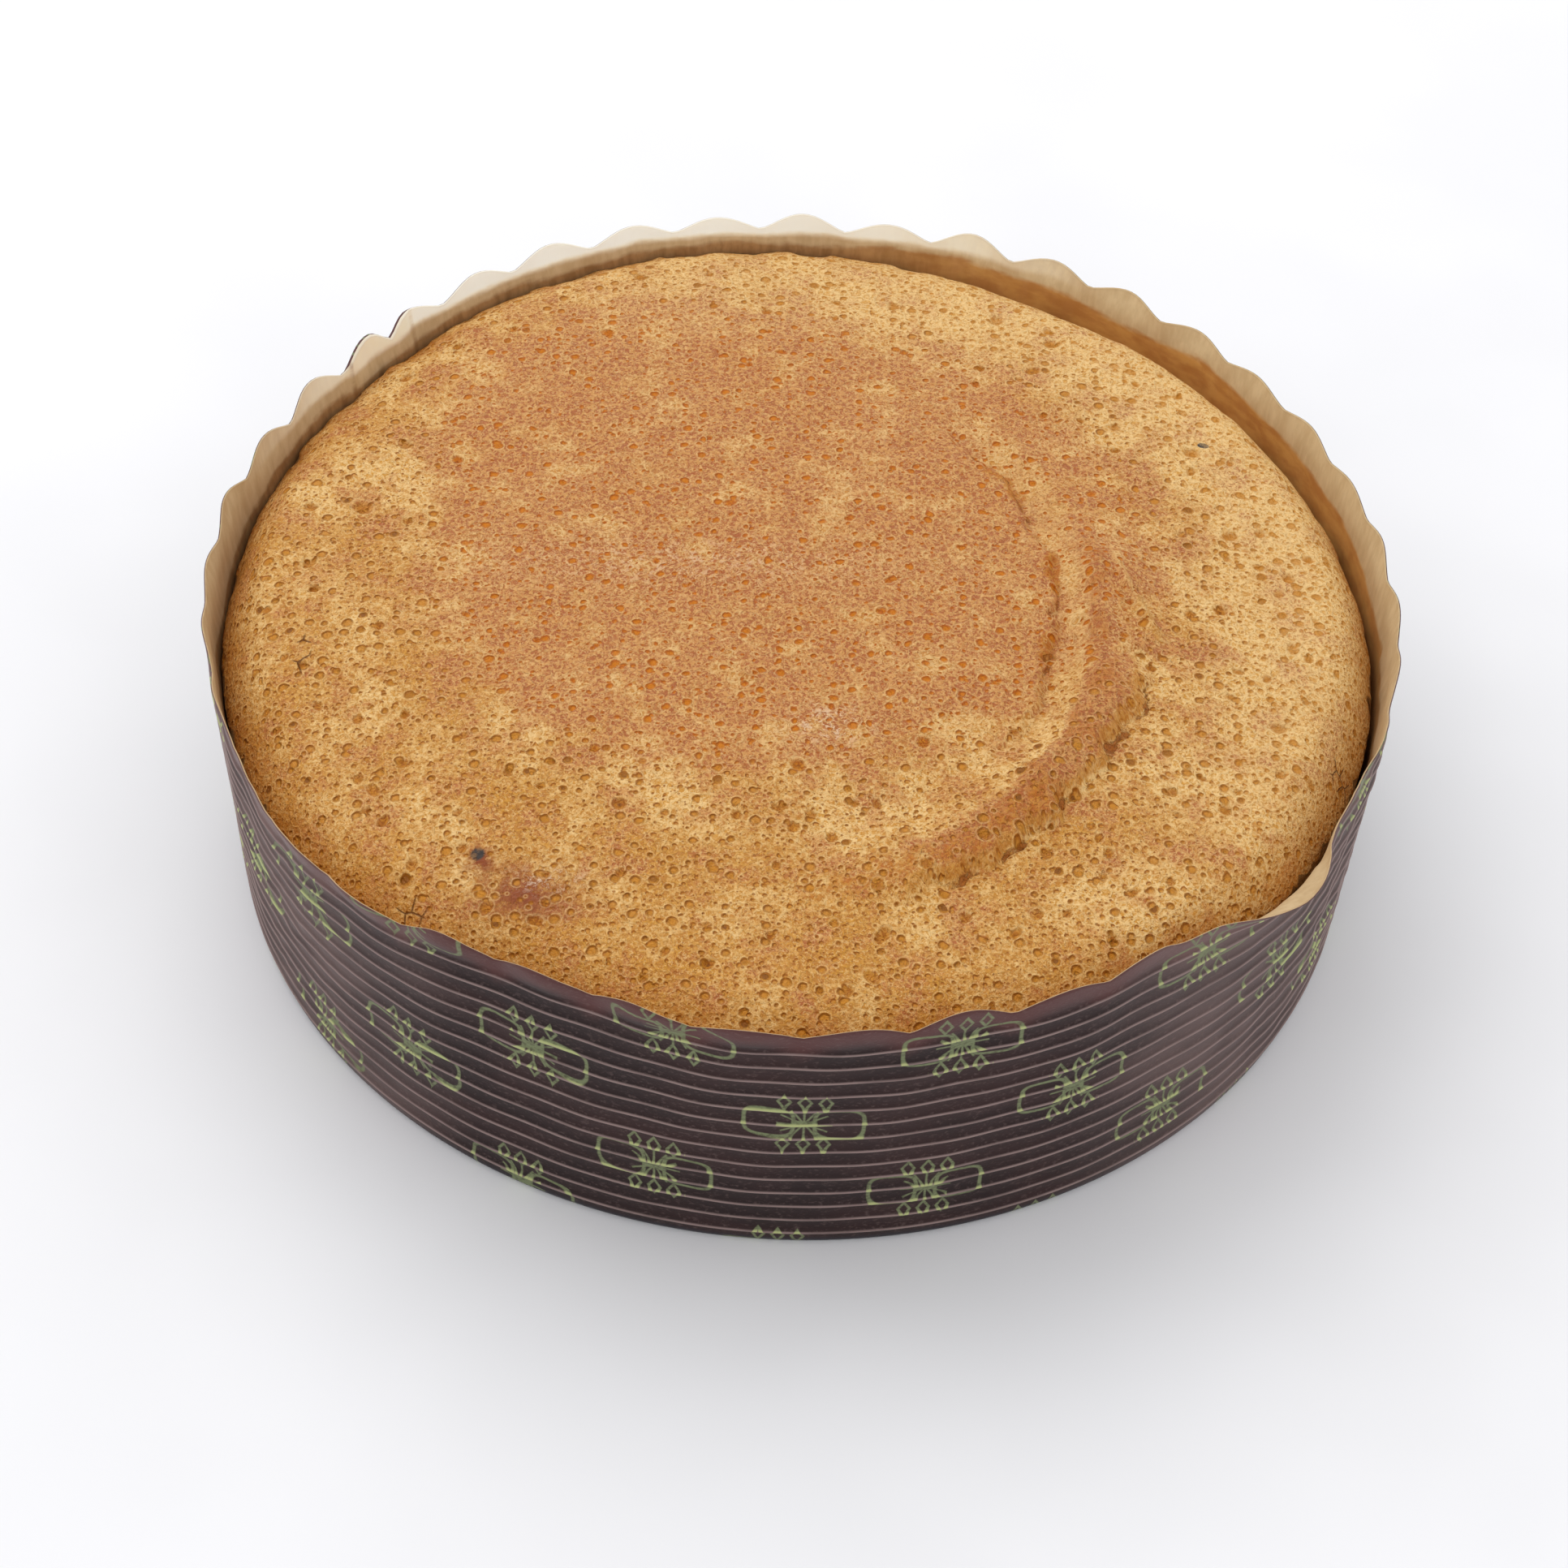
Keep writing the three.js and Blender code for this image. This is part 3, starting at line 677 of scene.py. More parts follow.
class Finish:
    """A node material being put together on a piece's own coordinates, in millimetres."""

    def __init__(self, name, colours):
        self.colours = colours
        self.material = bpy.data.materials.new(name)
        self.material.use_nodes = True
        self.tree = self.material.node_tree
        self.shader = self.tree.nodes["Principled BSDF"]
        self.place = self.add("TexCoord").outputs["Object"]

    def add(self, kind, **settings):
        node = self.tree.nodes.new("ShaderNode" + kind)
        for key, value in settings.items():
            setattr(node, key, value)
        return node

    def feed(self, socket, value):
        if isinstance(value, str):
            value = getattr(self.colours, value)
        if isinstance(value, Amount):
            value = value.socket
        if isinstance(value, NodeSocket):
            self.tree.links.new(value, socket)
        else:
            socket.default_value = value

    def fill(self, node, **values):
        for name, value in values.items():
            self.feed(node.inputs[name], value)
        return node

    def result(self, node, *values):
        """What a node gives when its first inputs take these values."""
        for socket, value in zip(node.inputs, values):
            self.feed(socket, value)
        return node.outputs[0]

    def maths(self, operation, *values):
        return Amount(self, self.result(self.add("Math", operation=operation), *values))

    def vector(self, operation, *values):
        return self.result(self.add("VectorMath", operation=operation), *values)

    def axes(self):
        """x, y and z in millimetres about the case's axis."""
        node = self.add("SeparateXYZ")
        self.feed(node.inputs[0], self.place)
        x, y, z = (Amount(self, out) * (1 / MM) for out in node.outputs)
        return x - AXIS_X, y - AXIS_Y, z

    def named(self, name):
        node = self.add("Attribute", attribute_name=name)
        return Amount(self, node.outputs["Fac"])

    def sheet(self, flat):
        """Coordinates in millimetres for 2-D patterns, which slide with height where not flat."""
        x, y, z = self.axes()
        climb = z * (1 - flat)
        node = self.add("CombineXYZ")
        across = x + self.named("slide_x") + climb * 0.8
        return self.result(node, across, y + self.named("slide_y") + climb * 0.6)

    def stretched(self, sizes, shift=0.0):
        """The piece's coordinates with one unit to each of these millimetres."""
        node = self.add("Mapping")
        scale = [1 / MM / size for size in sizes]
        self.fill(node, Vector=self.place, Scale=scale, Location=(shift, shift * 0.7, shift * 1.3))
        return node.outputs[0]

    def noise(self, place, size, detail, roughness, distortion, flat):
        node = self.add("TexNoise", noise_dimensions="2D" if flat else "3D")
        self.fill(node, Vector=place, Scale=1 / size, Detail=detail)
        return self.fill(node, Roughness=roughness, Distortion=distortion)

    def grain(self, sizes, detail=3.0, roughness=0.55, shift=0.0):
        """Noise whose lumps are this many millimetres along x, y and z, about 0.5."""
        place = self.stretched(sizes, shift)
        return Amount(self, self.noise(place, 1, detail, roughness, 0, False).outputs[0])

    def mottle(self, place, size, detail=3.0, roughness=0.6, distortion=0.0):
        """Flat noise whose lumps are this many millimetres across, about 0.5."""
        return Amount(self, self.noise(place, size, detail, roughness, distortion, True).outputs[0])

    def shaken(self, place, size, amount):
        """Coordinates pushed about by noise, so that round pits come out uneven."""
        noise = self.noise(place, size, 2.0, 0.6, 0, True)
        node = self.add("VectorMath", operation="SCALE")
        self.feed(node.inputs[0], self.vector("SUBTRACT", noise.outputs["Color"], (0.5, 0.5, 0.5)))
        self.feed(node.inputs[3], amount)
        return self.vector("ADD", place, node.outputs[0])

    def bubbles(self, place, size, smallest, largest):
        """Millimetres inside round pits, one to a cell of a size, and a tone for each."""
        node = self.add("TexVoronoi", voronoi_dimensions="2D")
        self.fill(node, Vector=place, Scale=1 / size)
        split = self.add("SeparateColor")
        self.feed(split.inputs[0], node.outputs["Color"])
        radius = Amount(self, split.outputs[0]) * (largest - smallest) + smallest
        return radius - Amount(self, node.outputs["Distance"]) * size, Amount(self, split.outputs[1])

    def cells(self, place, size):
        """Millimetres from the borders of random cells of a size."""
        node = self.add("TexVoronoi", voronoi_dimensions="2D", feature="DISTANCE_TO_EDGE")
        self.fill(node, Vector=place, Scale=1 / size)
        return Amount(self, node.outputs["Distance"]) * size

    def blend(self, share, first, second):
        """The first colour where the share is 0, and the second where it is 1."""
        node = self.add("Mix", data_type="RGBA", blend_type="MIX")
        node.clamp_factor = True
        for socket, value in ((0, share), (6, first), (7, second)):
            self.feed(node.inputs[socket], value)
        return node.outputs[2]

    def lay(self, share, colour):
        """Lays a colour over the ones so far, where the share is 1."""
        self.top = self.blend(share, self.top, colour)

    def relief(self, height):
        """Turns a height in millimetres into the shader's bump."""
        node = self.fill(self.add("Bump"), Strength=1.0, Distance=MM, Height=height)
        self.shade("Normal", node.outputs[0])

    def shade(self, name, value):
        self.feed(self.shader.inputs[name], value)


def crust_finish(colours):
    """Baked crumb: tan fibres, golden and reddish patches, amber pits with painted shade, a darker edge
    and painted light at the right.
    """
    f = Finish("baked_crust", colours)
    blush, reddish = f.named("blush"), f.named("reddish")
    facet, dark = f.named("facet"), f.named("dark")
    pit, pit_tone, open_top = f.named("pit"), f.named("pit_tone"), f.named("open_top")
    sheet = f.sheet(open_top)
    broad = f.mottle(sheet, 15, detail=2.0)
    patch = f.mottle(sheet, 7.5, detail=4.0, roughness=0.68)
    crumb = f.mottle(sheet, 1.9, roughness=0.65)
    fibre = f.mottle(sheet, 0.72, detail=2.0, roughness=0.7, distortion=1.0)
    fleck = f.mottle(sheet, 0.5, detail=1.0, distortion=0.8)
    shaken = f.shaken(sheet, 1.5, blush * 0.45 + 0.3)
    walls = 1 - f.cells(f.shaken(sheet, 1.1, 0.9), 1.6).step(0.05, 0.36)

    # low parts of the fibre net, which the bump sinks too, take the deeper gold and high parts the pale
    # crumb: partly the crumb's mottling, partly painted shade and highlight
    net = fibre + walls * 0.16 - 0.03
    pale = f.blend(net.step(0.36, 0.66), "crumb_gold", "crumb_pale")
    amber = f.blend(net.step(0.36, 0.70), "crust_amber", "crumb_gold")
    paler = f.named("paler")
    sunny = broad * 0.6 + crumb * 0.4 - paler * 0.12 + f.named("duller") * 0.08
    golden = f.blend(sunny.step(0.37, 0.66), pale, amber)
    flushed = f.blend((net * 0.65 + crumb * 0.35).step(0.42, 0.62), "crust_pink", "crust_tan")
    mixed = patch * 0.76 + broad * 0.10 + crumb * 0.14 + blush * 0.15 + reddish * 0.24 - facet * 0.09
    golden = f.blend(blush * 0.3, golden, flushed)
    f.top = f.blend(mixed.step(0.47, 0.67) * 0.95, golden, flushed)
    smooth = f.blend(fibre.step(0.3, 0.6), "crumb_gold", "crumb_pale")
    ragged = (crumb - 0.5) * 0.9 + (fibre - 0.5) * 0.5
    # the facet's pale crumb, with the painted highlight of the small fold
    f.lay((facet + ragged).step(0.3, 0.7) * 0.3, smooth)
    # painted light on the right shoulder: pale crumb laid over it
    f.lay(paler * net.step(0.34, 0.66, 0.15, 0.75), "crumb_pale")
    f.lay(fleck.step(0.54, 0.68) * (0.5 - blush * 0.15), "crumb_pale")
    # darker amber on the lip's outer slope: partly the crust's own colour, partly painted shade on the
    # side turned from the lamp
    slope = (f.named("slope") + ragged).step(0.35, 0.9)
    slope_amber_and_shade = f.blend(fibre.step(0.4, 0.66) * 0.7, "crust_edge", "crumb_gold")
    f.lay(slope * 0.65, slope_amber_and_shade)
    fold = f.blend(patch.step(0.40, 0.62) * 0.6, flushed, "crust_ember")
    f.lay((reddish + ragged * 1.4).step(0.40, 1.15) * 0.9, fold)
    ember = f.blend(net.step(0.40, 0.70) * 0.6, "crust_ember", "crumb_gold")
    f.lay((f.named("ember") + ragged * 1.4).step(0.45, 1.1) * 0.85, ember)
    inside = f.named("inside")
    edge = (1 - inside.step(0.5, 7)) * (broad * 0.5 + crumb * 0.5).step(0.36, 0.6, 0.2, 0.8)
    f.lay(edge * (0.5 - paler * 0.45), "crust_edge")
    border = (1 - inside.step(0.4, 4)) * open_top
    f.lay(border * net.step(0.34, 0.60, 0.8, 0.2), "crust_edge")
    scorch = f.named("scorch") * (crumb * 0.6 + patch * 0.4).step(0.36, 0.56, 0.4, 1.1)
    f.lay(scorch * 0.95, "crust_scorch")
    # dry film, partly a painted highlight on the glossy crust
    film = f.named("film") * (crumb * 0.5 + fibre * 0.5).step(0.50, 0.62)
    f.lay(film * 0.7, "film_and_highlight_pale")

    # pits: pale rims, amber floors, painted shade on the side towards the lamp, and a few deep ones
    middle, middle_tone = f.bubbles(shaken, 2.9, -0.22, 1.02)
    small, _ = f.bubbles(shaken, 1.75, -0.14, 0.58)
    tiny, _ = f.bubbles(shaken, 1.1, -0.14, 0.32)
    # lampward copies of the pits cut out a painted shade crescent on each pit's side towards the lamp
    lampwards = f.vector("ADD", shaken, (-0.14, 0.30, 0))
    middle_off, _ = f.bubbles(lampwards, 2.9, -0.22, 1.02)
    small_off, _ = f.bubbles(lampwards, 1.75, -0.14, 0.58)
    fewer = blush * 0.14
    middle, small, tiny = middle - fewer, small - fewer * 0.6, tiny - fewer * 0.5
    middle_off, small_off = middle_off - fewer, small_off - fewer * 0.6
    floor = f.blend(blush.step(0.2, 0.8), "bubble_gold", "bubble_amber")
    pit_shade = f.blend(blush.step(0.2, 0.8), "bubble_shade_brown", "bubble_shade_orange")
    floor = f.blend(fibre.step(0.55, 0.8) * 0.4, floor, "crumb_gold")
    pit_shade = f.blend(paler * 0.85, pit_shade, "bubble_gold")
    # tiny pits take the painted shade colour throughout
    f.lay(tiny.step(0, 0.12) * open_top * (0.65 - paler * 0.3), pit_shade)
    rim = middle.step(-0.36, -0.08).low(1 - middle.step(-0.08, 0.04))
    rim = rim.high(pit.step(-0.35, -0.10).low(1 - pit.step(-0.10, 0.06)))
    f.lay(rim * open_top * 0.35, "crumb_pale")
    in_small, in_middle = small.step(-0.03, 0.14), middle.step(-0.04, 0.18)
    in_pit = pit.step(-0.03, 0.22)
    strength = blush * 0.2 - paler * 0.14 + 0.74
    soft_small, soft_middle = small.step(-0.06, 0.3), middle.step(-0.08, 0.40)
    soft_pit = pit.step(-0.1, 0.55)
    f.lay(soft_small * open_top * strength, floor)
    f.lay(in_small * (1 - small_off.step(0, 0.2)) * open_top * 0.8, pit_shade)
    f.lay(soft_middle * open_top * (middle_tone * 0.3 + strength), floor)
    f.lay(in_middle * (1 - middle_off.step(-0.2, 0.45)) * open_top * 0.85, pit_shade)
    # the mesh pits mix painted shade into their floor colour
    hollow = f.blend(fibre.step(0.3, 0.7), pit_shade, floor)
    f.lay(soft_pit.high(in_pit * 0.45) * (pit_tone * 0.3 + strength), hollow)
    # painted shade deep inside a few pits
    deep_shade = middle.step(0.25, 0.5) * middle_tone.step(0.84, 0.94)
    deep_shade = deep_shade + pit.step(0.5, 0.8) * pit_tone.step(0.8, 0.9)
    f.lay(deep_shade * open_top * (0.8 - blush.high(paler) * 0.7), "deep_shade_brown")
    # painted shade under the torn edge, in the inner step and beside the small fold
    torn = (dark + ragged).step(0.58, 0.88)
    fold_shade = f.blend(fibre.step(0.4, 0.62) * 0.6, "tear", "crust_ember")
    f.lay(torn * 0.9, fold_shade)
    # painted shade in the cracks
    crack = f.named("cracks").step(0.35, 0.6) * (1 - f.cells(shaken, 3.6).step(0.04, 0.18))
    f.lay(crack * 0.8, "deep_shade_brown")
    speck = f.named("speck").step(0.35, 0.6) * crumb.step(0.35, 0.55, 0.7, 1.0)
    f.lay(speck, "speck")
    f.shade("Base Color", f.top)

    quiet = 1 - blush.high(paler) * 0.42
    sunk = middle.step(-0.05, 0.55) * 0.44 + small.step(-0.03, 0.36) * 0.25 + tiny.step(0, 0.2) * 0.13
    sunk = sunk + pit.step(0, 0.4) * 0.2
    rough = reddish.high(slope) * 0.55 + 0.5
    grain = (crumb - 0.5) * rough + (fibre - 0.5) * 0.27 + walls * 0.10
    f.relief(grain - sunk * quiet * open_top - (crack + torn) * 0.4)
    f.shade("Roughness", crumb.step(0.3, 0.7, 0.46, 0.64))
    f.shade("Specular IOR Level", 0.24)
    return f.material


def bow_print(f, degrees, z, crest):
    """1 on the lines of a bow ornament, which repeats round the band in slanting rows."""
    climb = 1 - f.maths("COSINE", (degrees - 300) * (math.pi / 180))
    level = z - climb * PRINT_CLIMB - PRINT_LOWEST
    row = (level / PRINT_ROW).rounded()
    turned = (degrees - 284.0 + row * 11.9) / PRINT_PITCH
    x = (turned - turned.rounded()) * PRINT_WIDTH
    y = level - row * PRINT_ROW
    across, up = abs(x), abs(y)

    # two boxy loops, a knot with fine pleats, small lozenges above and below, and a dash
    side, rise = abs(across - 5.3) / 3.7, up / 3.35
    side, rise = side * side, rise * rise
    loop = abs(f.maths("POWER", side * side + rise * rise, 0.25) - 1) * 3.4
    knot = (across - 1.4).high(up - 0.5)
    spread = f.maths("ARCTAN2", y, x) * (6 / math.pi)
    reach = f.maths("POWER", x * x + y * y, 0.5)
    pleat = (abs(spread - spread.rounded()) * reach * (math.pi / 6)).high(reach - 3.9) + 0.10
    column = abs(x - (x / 3.1).rounded() * 3.1)
    lozenge = abs(column / 0.95 + abs(up - 5.3) / 1.6 - 1).high(across - 4.6)
    dash = (abs(x + 1.0) - 0.8).high(abs(y + 9.4))
    line = loop.low(knot).low(pleat).low(lozenge).low(dash)
    return 1 - (line - crest * 0.12).step(0.14, 0.40)


def band_finish(colours):
    """Dark coated paper with paler ribs, partly rubbed and partly painted highlight, painted sheen at
    its sides and a thin gold-green print.
    """
    f = Finish("brown_paper", colours)
    x, y, z = f.axes()
    crest, below_tip = f.named("crest"), f.named("below_tip")
    degrees = f.maths("ARCTAN2", y, x) * (180 / math.pi)
    fibre = f.grain((0.9, 0.9, 0.5), detail=2.0, roughness=0.65)
    cloud = f.grain((22, 22, 9), detail=2.0, shift=4.0)
    rub = f.grain((7, 7, 1.2), detail=2.0, shift=11.0)

    f.top = f.blend(cloud.step(0.35, 0.68), "paper_dark", "paper_brown")
    f.lay((1 - below_tip.step(1.5, 6.5)) * 0.8, "paper_maroon")
    f.lay(fibre.step(0.5, 0.75) * 0.18, "paper_wear_and_sheen")
    # pale crest lines: partly rubbed wear, partly painted highlight where the ribs catch the light
    f.lay(crest.step(0.40, 0.95) * rub.step(0.2, 0.6, 0.6, 1.0), "paper_wear_and_sheen")
    f.lay(1 - z.step(0.3, 2.0), "paper_foot")
    # painted sheen at the band's left and right sides
    f.lay(f.named("sheen") * cloud.step(0.3, 0.7, 0.2, 0.42), "paper_wear_and_sheen")
    ink = bow_print(f, degrees, z, crest)
    strength = fibre.step(0.30, 0.58, 0.45, 0.95).high(crest.step(0.2, 0.7))
    print_colour = f.blend(crest.step(0.2, 0.75), "print_green", "print_gold")
    f.shade("Base Color", f.blend(ink * strength, f.top, print_colour))

    f.relief((fibre - 0.5) * 0.05 + (cloud - 0.5) * 0.5)
    f.shade("Roughness", fibre.step(0.3, 0.7, 0.48, 0.60) + cloud * 0.1 - 0.05)
    f.shade("Specular IOR Level", 0.24)
    f.shade("Sheen Weight", 0.06)
    f.shade("Sheen Roughness", 0.45)
    return f.material


def kraft_finish(colours):
    """Bare kraft inside the band, stained amber where fat has soaked up, with painted light at the tips
    where it comes through.
    """
    f = Finish("kraft_paper", colours)
    below_tip, above_oil, lapped = f.named("below_tip"), f.named("above_oil"), f.named("lapped")
    amber, lit = f.named("amber"), f.named("lit")
    streak = f.grain((1.6, 1.6, 6.0), roughness=0.6)
    blot = f.grain((6, 6, 2.4), shift=5.0)
    f.top = f.blend(streak.step(0.25, 0.75), "kraft_brown", "kraft_pale")
    warm = f.blend(streak.step(0.3, 0.7), "kraft_tan", "kraft_tip")
    f.lay(amber * 0.8, warm)
    soaked = f.blend(streak.step(0.3, 0.7), "soaked_brown", "soaked_tan")
    greasy = f.blend(blot.step(0.35, 0.65), "oil_dark", "oil_amber")
    soaked = f.blend(amber, soaked, greasy)
    line = 1 - (above_oil + (blot - 0.5) * 2.4).step(-0.4, 0.8)
    f.lay(line * 0.9, soaked)
    _, _, z = f.axes()
    # painted light: cream on the thin tips where light comes through, beside the subsurface scattering
    tips = (z + (blot - 0.5) * 1.2).step(50.4, 52.0) * lit
    f.lay(tips * 0.95, "lit_through_cream")
    f.shade("Subsurface Weight", tips * 0.9)
    f.shade("Subsurface Radius", (1.0, 1.0, 1.0))
    f.shade("Subsurface Scale", MM)
    seam = 1 - abs(lapped - 5.0).step(0.05, 0.5)
    f.lay(seam * blot.step(0.3, 0.7, 0.1, 0.7), "soaked_brown")
    f.lay((1 - below_tip.step(0.0, 0.35)) * 0.2, "soaked_brown")
    f.shade("Base Color", f.top)
    f.relief((streak - 0.5) * 0.06)
    f.shade("Roughness", streak.step(0.3, 0.7, 0.6, 0.75) - line * amber * 0.15)
    f.shade("Specular IOR Level", 0.35)
    return f.material


def disc_finish(colours):
    """The disc under the cake: kraft above, dark paper with faint ribs below."""
    f = Finish("paper_disc", colours)
    x, _, z = f.axes()
    streak = f.grain((5.0, 0.7, 1.0))
    cloud = f.grain((18, 18, 18), detail=2.0, shift=2.0)
    off = abs(x / RIB_PITCH - (x / RIB_PITCH).rounded())
    rib = 1 - off.step(0.05, 0.16)
    kraft = f.blend(streak.step(0.3, 0.7), "soaked_brown", "kraft_tan")
    dark = f.blend(cloud.step(0.35, 0.65), "paper_dark", "paper_brown")
    dark = f.blend(rib * 0.7, dark, "paper_wear_and_sheen")
    f.shade("Base Color", f.blend(z.step(0.3, 0.5), dark, kraft))
    f.relief(rib * 0.3 + (streak - 0.5) * 0.08)
    f.shade("Roughness", streak.step(0.3, 0.7, 0.5, 0.7))
    return f.material


def floor_finish(colours):
    f = Finish("pale_floor", colours)
    mottle = f.grain((60, 60, 60), detail=2.0)
    f.shade("Base Color", f.blend(mottle.step(0.3, 0.7), "floor_low", "floor_high"))
    f.shade("Roughness", mottle.step(0.3, 0.7, 0.55, 0.65))
    return f.material


# ---- settings ----


def length(name, description, millimetres):
    return FloatProperty(name=name, description=description, default=millimetres * MM, unit="LENGTH")


def paint(name, description, *seen):
    kind = {"size": 4, "min": 0, "max": 1, "subtype": "COLOR"}
    return FloatVectorProperty(name=name, description=description, default=tone(*seen), **kind)


class CakeSizes(PropertyGroup):
    lip_height: length("Lip height", "Height of the torn lip over the crust outside it", 2.5)
    ridge_height: length("Ridge height", "Height of the folded ridge behind the lip", 0.9)
    groove_depth: length("Step depth", "Depth of the ragged step inside the fold", 1.5)
    pit_count: IntProperty(name="Pits", description="Pits between the largest holes", default=170)
    pit_seed: IntProperty(name="Pit seed", description="Seed for the places of the pits", default=90210)


class CrustColours(PropertyGroup):
    crumb_pale: paint("Pale crumb", "Walls between the bubbles", 240, 199, 134)
    crumb_gold: paint("Golden crumb", "Most of the crust", 208, 146, 56)
    crust_amber: paint("Amber crust", "Yellower patches", 184, 120, 46)
    crust_tan: paint("Tan crust", "Lighter fibres of the reddish middle", 210, 150, 86)
    crust_pink: paint("Reddish crust", "Darker fibres of the reddish middle", 172, 96, 50)
    crust_edge: paint("Edge of the crust", "Darker ring beside the paper", 194, 124, 44)
    crust_scorch: paint("Scorched crust", "Dark patch at the front left", 146, 74, 36)
    bubble_gold: paint("Golden pits", "Floors of the pits in the open crumb", 202, 132, 36)
    # painted shade on pit walls in the open crumb
    bubble_shade_brown: paint("Brown pits", "Shaded walls of the pits in the open crumb", 160, 88, 12)
    bubble_amber: paint("Amber pits", "Floors of the pits in the smooth middle", 206, 118, 0)
    # painted shade on pit walls in the smooth middle
    bubble_shade_orange: paint("Orange pits", "Shaded walls of the pits in the smooth middle", 178, 86, 0)
    # painted shade: the dark inside deep holes and cracks
    deep_shade_brown: paint("Deep holes", "Holes that run down into the crumb", 124, 70, 22)
    crust_ember: paint("Orange crust", "Rims of the torn fold", 184, 104, 26)
    # painted shadow under the torn fold
    tear: paint("Torn crust", "Under the torn fold", 150, 84, 26)
    # dry film, partly a painted highlight
    film_and_highlight_pale: paint("Pale film", "Dry film on the crust", 240, 212, 184)
    speck: paint("Specks", "Nearly black specks", 66, 58, 54)


class PaperColours(PropertyGroup):
    paper_dark: paint("Dark paper", "Outside of the band, in its hollows", 37, 21, 21)
    paper_brown: paint("Brown paper", "Outside of the band", 51, 30, 29)
    paper_maroon: paint("Maroon paper", "Under the scalloped edge", 96, 58, 56)
    # partly wear and partly painted highlight on the rib crests, and painted sheen at the band's sides
    paper_wear_and_sheen: paint("Rubbed paper", "Crests of the ribs", 146, 124, 120)
    paper_foot: paint("Foot of the band", "Rolled bottom edge", 38, 36, 44)
    print_gold: paint("Print on the ribs", "Print where it is whole", 178, 184, 126)
    print_green: paint("Print between the ribs", "Print where it is broken", 120, 128, 92)
    kraft_pale: paint("Pale kraft", "Inside of the band", 212, 186, 144)
    kraft_brown: paint("Brown kraft", "Streaks inside the band", 196, 167, 124)
    kraft_tan: paint("Warm kraft", "Inside of the band at the right", 208, 182, 138)
    kraft_tip: paint("Warm tips", "Paler streaks at the right", 222, 198, 154)
    # painted light coming through the thin tips
    lit_through_cream: paint("Cream tips", "Thin scallops that the light comes through", 255, 250, 234)
    soaked_brown: paint("Brown soaked paper", "Streaks beside the cake at the back", 146, 104, 60)
    soaked_tan: paint("Tan soaked paper", "Paper beside the cake at the back", 176, 132, 82)
    oil_amber: paint("Soaked paper", "Paper beside the cake at the right", 214, 158, 80)
    oil_dark: paint("Dark soaked paper", "Blots in the soaked paper", 190, 128, 58)


class CaseSizes(PropertyGroup):
    rib_depth: length("Rib depth", "How far the ribs stand out of the band", 0.45)


class StageSettings(PropertyGroup):
    floor_low: paint("Floor, darker", "Darker parts of the floor", 245, 245, 248)
    floor_high: paint("Floor, paler", "Paler parts of the floor", 249, 249, 252)
    sky: FloatProperty(name="Fill light", description="Even light from all round", default=0.88)
    lamp: FloatProperty(name="Lamp", description="Watts of the soft lamp", default=6.4, subtype="POWER")
    lamp_width: length("Lamp width", "Width of the round lamp", 1500)
    lens: FloatProperty(
        name="Lens", description="Focal length", default=93.17, subtype="DISTANCE_CAMERA"
    )


# ---- operators ----


class OBJECT_OT_almond_cake(Operator):
    """Build the crust of the almond cake"""

    bl_idname = "object.almond_cake"
    bl_label = "Almond cake"

    def execute(self, context):
        scene = context.scene
        mesh = crust_blank()
        shape_crust(mesh, scene.cake_sizes)
        piece = mesh_piece("almond_cake", mesh, [crust_finish(scene.crust_colours)])
        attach(piece, "root")
        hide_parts("cake")
        return {"FINISHED"}


class OBJECT_OT_case_band(Operator):
    """Build the ribbed, scalloped paper band"""

    bl_idname = "object.case_band"
    bl_label = "Paper band"

    def execute(self, context):
        scene = context.scene
        heights = band_heights()
        rows = len(heights) + TOP_RINGS + 1 + INSIDE_RINGS + 1
        mesh = band_blank(rows)
        shape_band(mesh, heights, rows, scene.case_sizes)
        papers = [band_finish(scene.paper_colours), kraft_finish(scene.paper_colours)]
        piece = mesh_piece("paper_band", mesh, papers)
        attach(piece, "root")
        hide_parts("case_wall")
        return {"FINISHED"}


class OBJECT_OT_case_disc(Operator):
    """Finish the paper disc under the cake"""

    bl_idname = "object.case_disc"
    bl_label = "Paper disc"

    def execute(self, context):
        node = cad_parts["case_base"]
        material = disc_finish(context.scene.paper_colours)
        for slot in node.material_slots:
            slot.material = material
        return {"FINISHED"}


class OBJECT_OT_cake_stage(Operator):
    """Build the floor, the lamp and the camera"""

    bl_idname = "object.cake_stage"
    bl_label = "Stage"

    def execute(self, context):
        scene = context.scene
        settings = scene.stage_settings
        form = bmesh.new()
        bmesh.ops.create_grid(form, x_segments=8, y_segments=8, size=3.0)
        floor = mesh_piece("stage_floor", form_mesh(form, "stage_floor"), [floor_finish(settings)])

        world = bpy.data.worlds.new("soft_room")
        world.use_nodes = True
        sky = world.node_tree.nodes["Background"]
        sky.inputs["Color"].default_value = (1.0, 1.0, 1.0, 1)
        sky.inputs["Strength"].default_value = settings.sky
        scene.world = world

        lamp = bpy.data.lights.new("window", "AREA")
        lamp.shape = "DISK"
        lamp.size = settings.lamp_width
        lamp.energy = settings.lamp
        light = bpy.data.objects.new("window", lamp)
        light.location = (-0.50, 0.62, 1.25)
        aim = Vector((0, 0, 0.03)) - light.location
        light.rotation_euler = aim.to_track_quat("-Z", "Y").to_euler()
        scene.collection.objects.link(light)

        camera = bpy.data.cameras.new("camera")
        camera.lens = settings.lens
        camera.sensor_width = 36
        eye = bpy.data.objects.new("camera", camera)
        eye.matrix_world = camera_place()
        scene.collection.objects.link(eye)
        scene.camera = eye
        scene.view_settings.view_transform = "Standard"
        return {"FINISHED"}


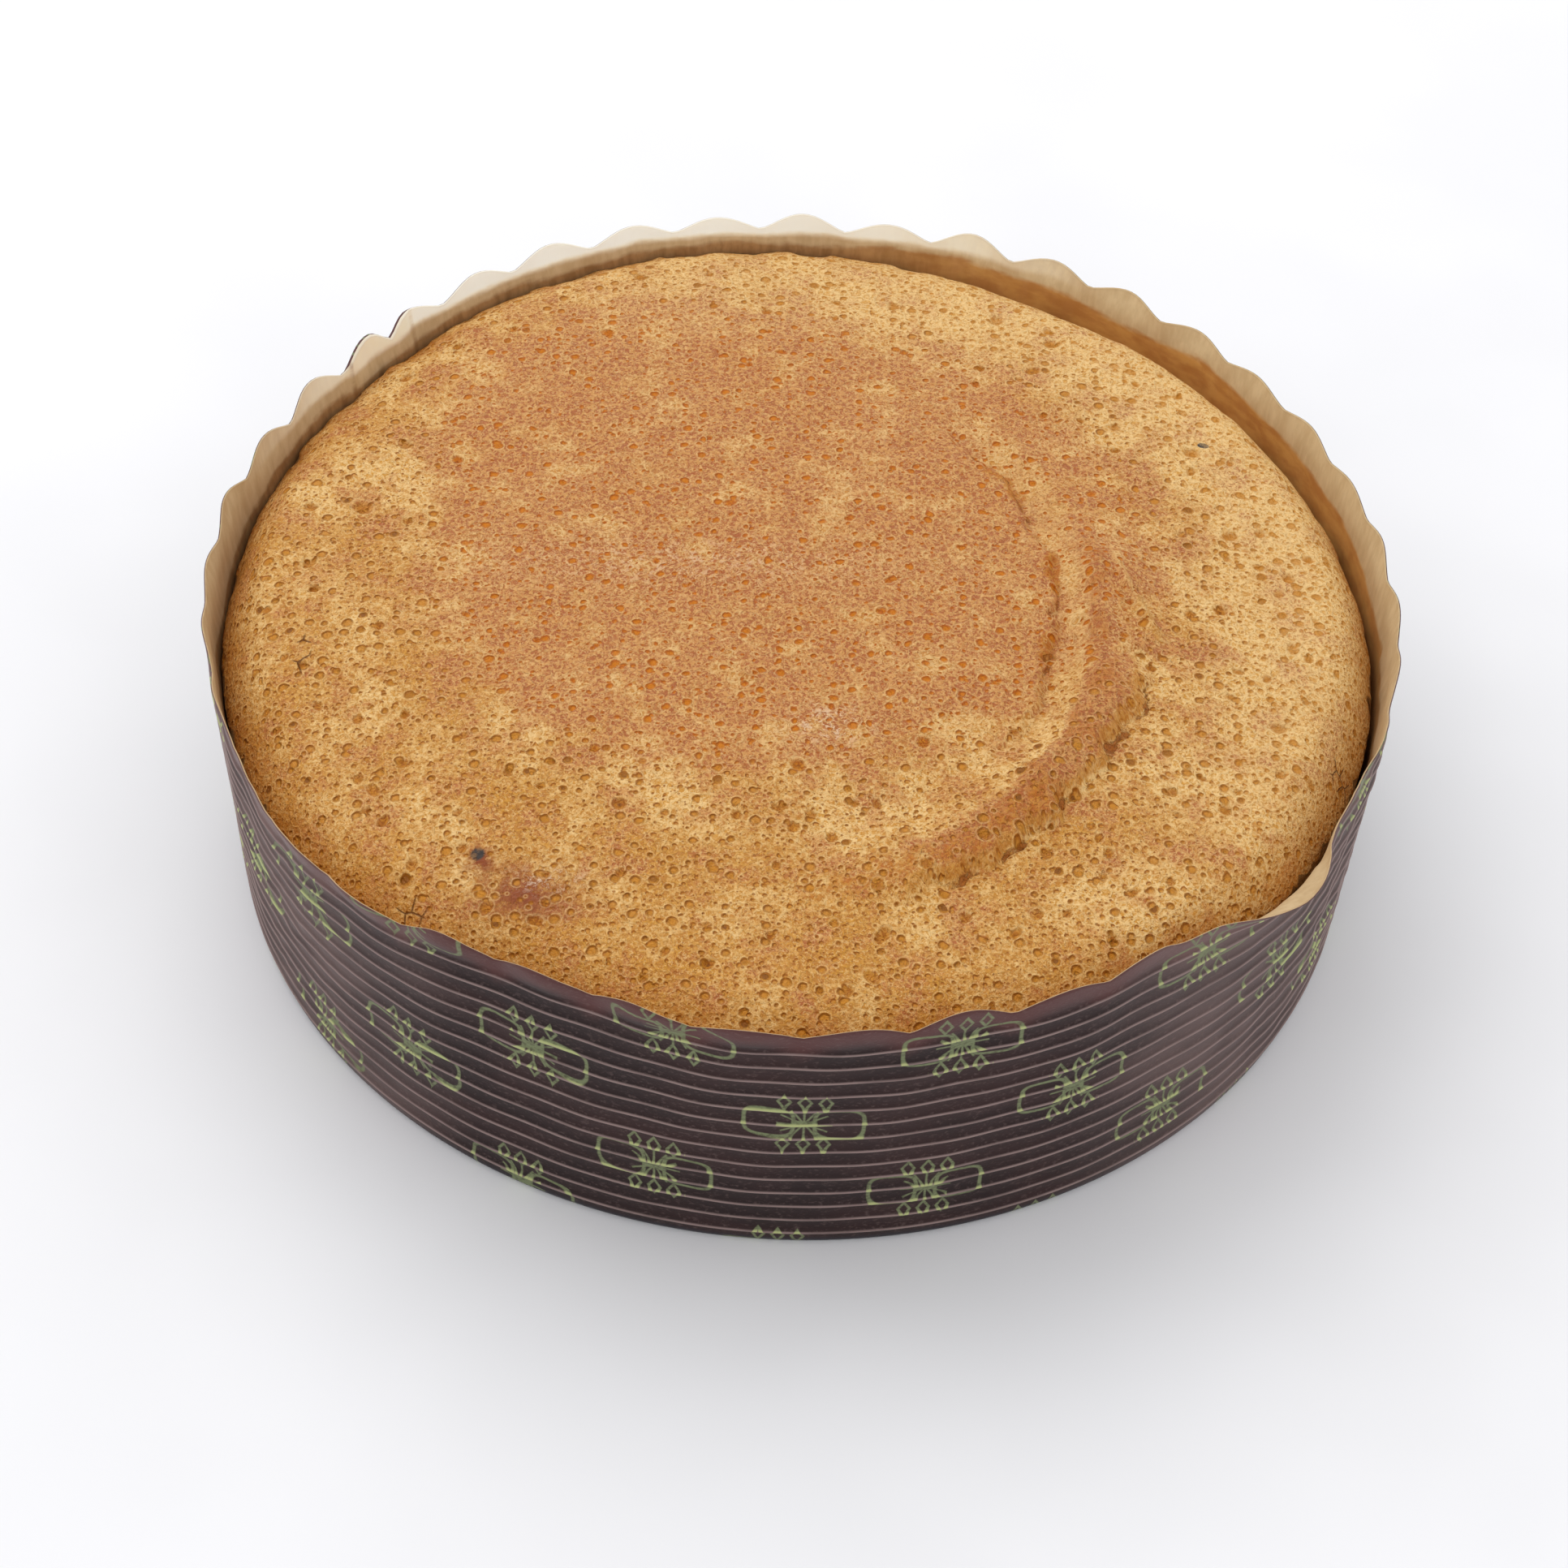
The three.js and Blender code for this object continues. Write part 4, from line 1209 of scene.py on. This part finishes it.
# Where the camera looks, from how far and how high, and how far it is tipped sideways.
CAMERA_TARGET = (-1.69, -11.26, 19.24)
CAMERA_DISTANCE = 673.5
CAMERA_ELEVATION = 44.93
CAMERA_ROLL = -2.48


def camera_place():
    elevation, roll = math.radians(CAMERA_ELEVATION), math.radians(CAMERA_ROLL)
    back = Vector((0, -math.cos(elevation), math.sin(elevation)))
    right = Vector((1, 0, 0))
    up = back.cross(right)
    rolled_right = right * math.cos(roll) - up * math.sin(roll)
    rolled_up = right * math.sin(roll) + up * math.cos(roll)
    target = Vector((CAMERA_TARGET[0] + AXIS_X, CAMERA_TARGET[1] + AXIS_Y, CAMERA_TARGET[2]))
    place = (target + back * CAMERA_DISTANCE) * MM
    turned = Matrix((rolled_right, rolled_up, back)).transposed().to_4x4()
    return Matrix.Translation(place) @ turned


class VIEW3D_PT_cake(Panel):
    """Lists the pieces of the cake and their settings"""

    bl_label = "Almond cake"
    bl_space_type = "VIEW_3D"
    bl_region_type = "UI"
    bl_category = "Cake"

    def draw(self, context):
        for kind in OPERATORS:
            self.layout.operator(kind.bl_idname)
        for key in SETTINGS:
            group = getattr(context.scene, key)
            box = self.layout.box()
            for name in group.bl_rna.properties.keys():
                if name not in ("rna_type", "name"):
                    box.prop(group, name)


SETTINGS = {
    "cake_sizes": CakeSizes,
    "crust_colours": CrustColours,
    "case_sizes": CaseSizes,
    "paper_colours": PaperColours,
    "stage_settings": StageSettings,
}

OPERATORS = (OBJECT_OT_almond_cake, OBJECT_OT_case_band, OBJECT_OT_case_disc, OBJECT_OT_cake_stage)

CLASSES = (*SETTINGS.values(), *OPERATORS, VIEW3D_PT_cake)


def register():
    for kind in CLASSES:
        bpy.utils.register_class(kind)
    for key, kind in SETTINGS.items():
        setattr(Scene, key, PointerProperty(type=kind))


def unregister():
    for key in SETTINGS:
        delattr(Scene, key)
    for kind in reversed(CLASSES):
        bpy.utils.unregister_class(kind)


def main():
    register()
    bpy.ops.object.almond_cake()
    bpy.ops.object.case_band()
    bpy.ops.object.case_disc()
    bpy.ops.object.cake_stage()


if __name__ == "__main__":
    main()
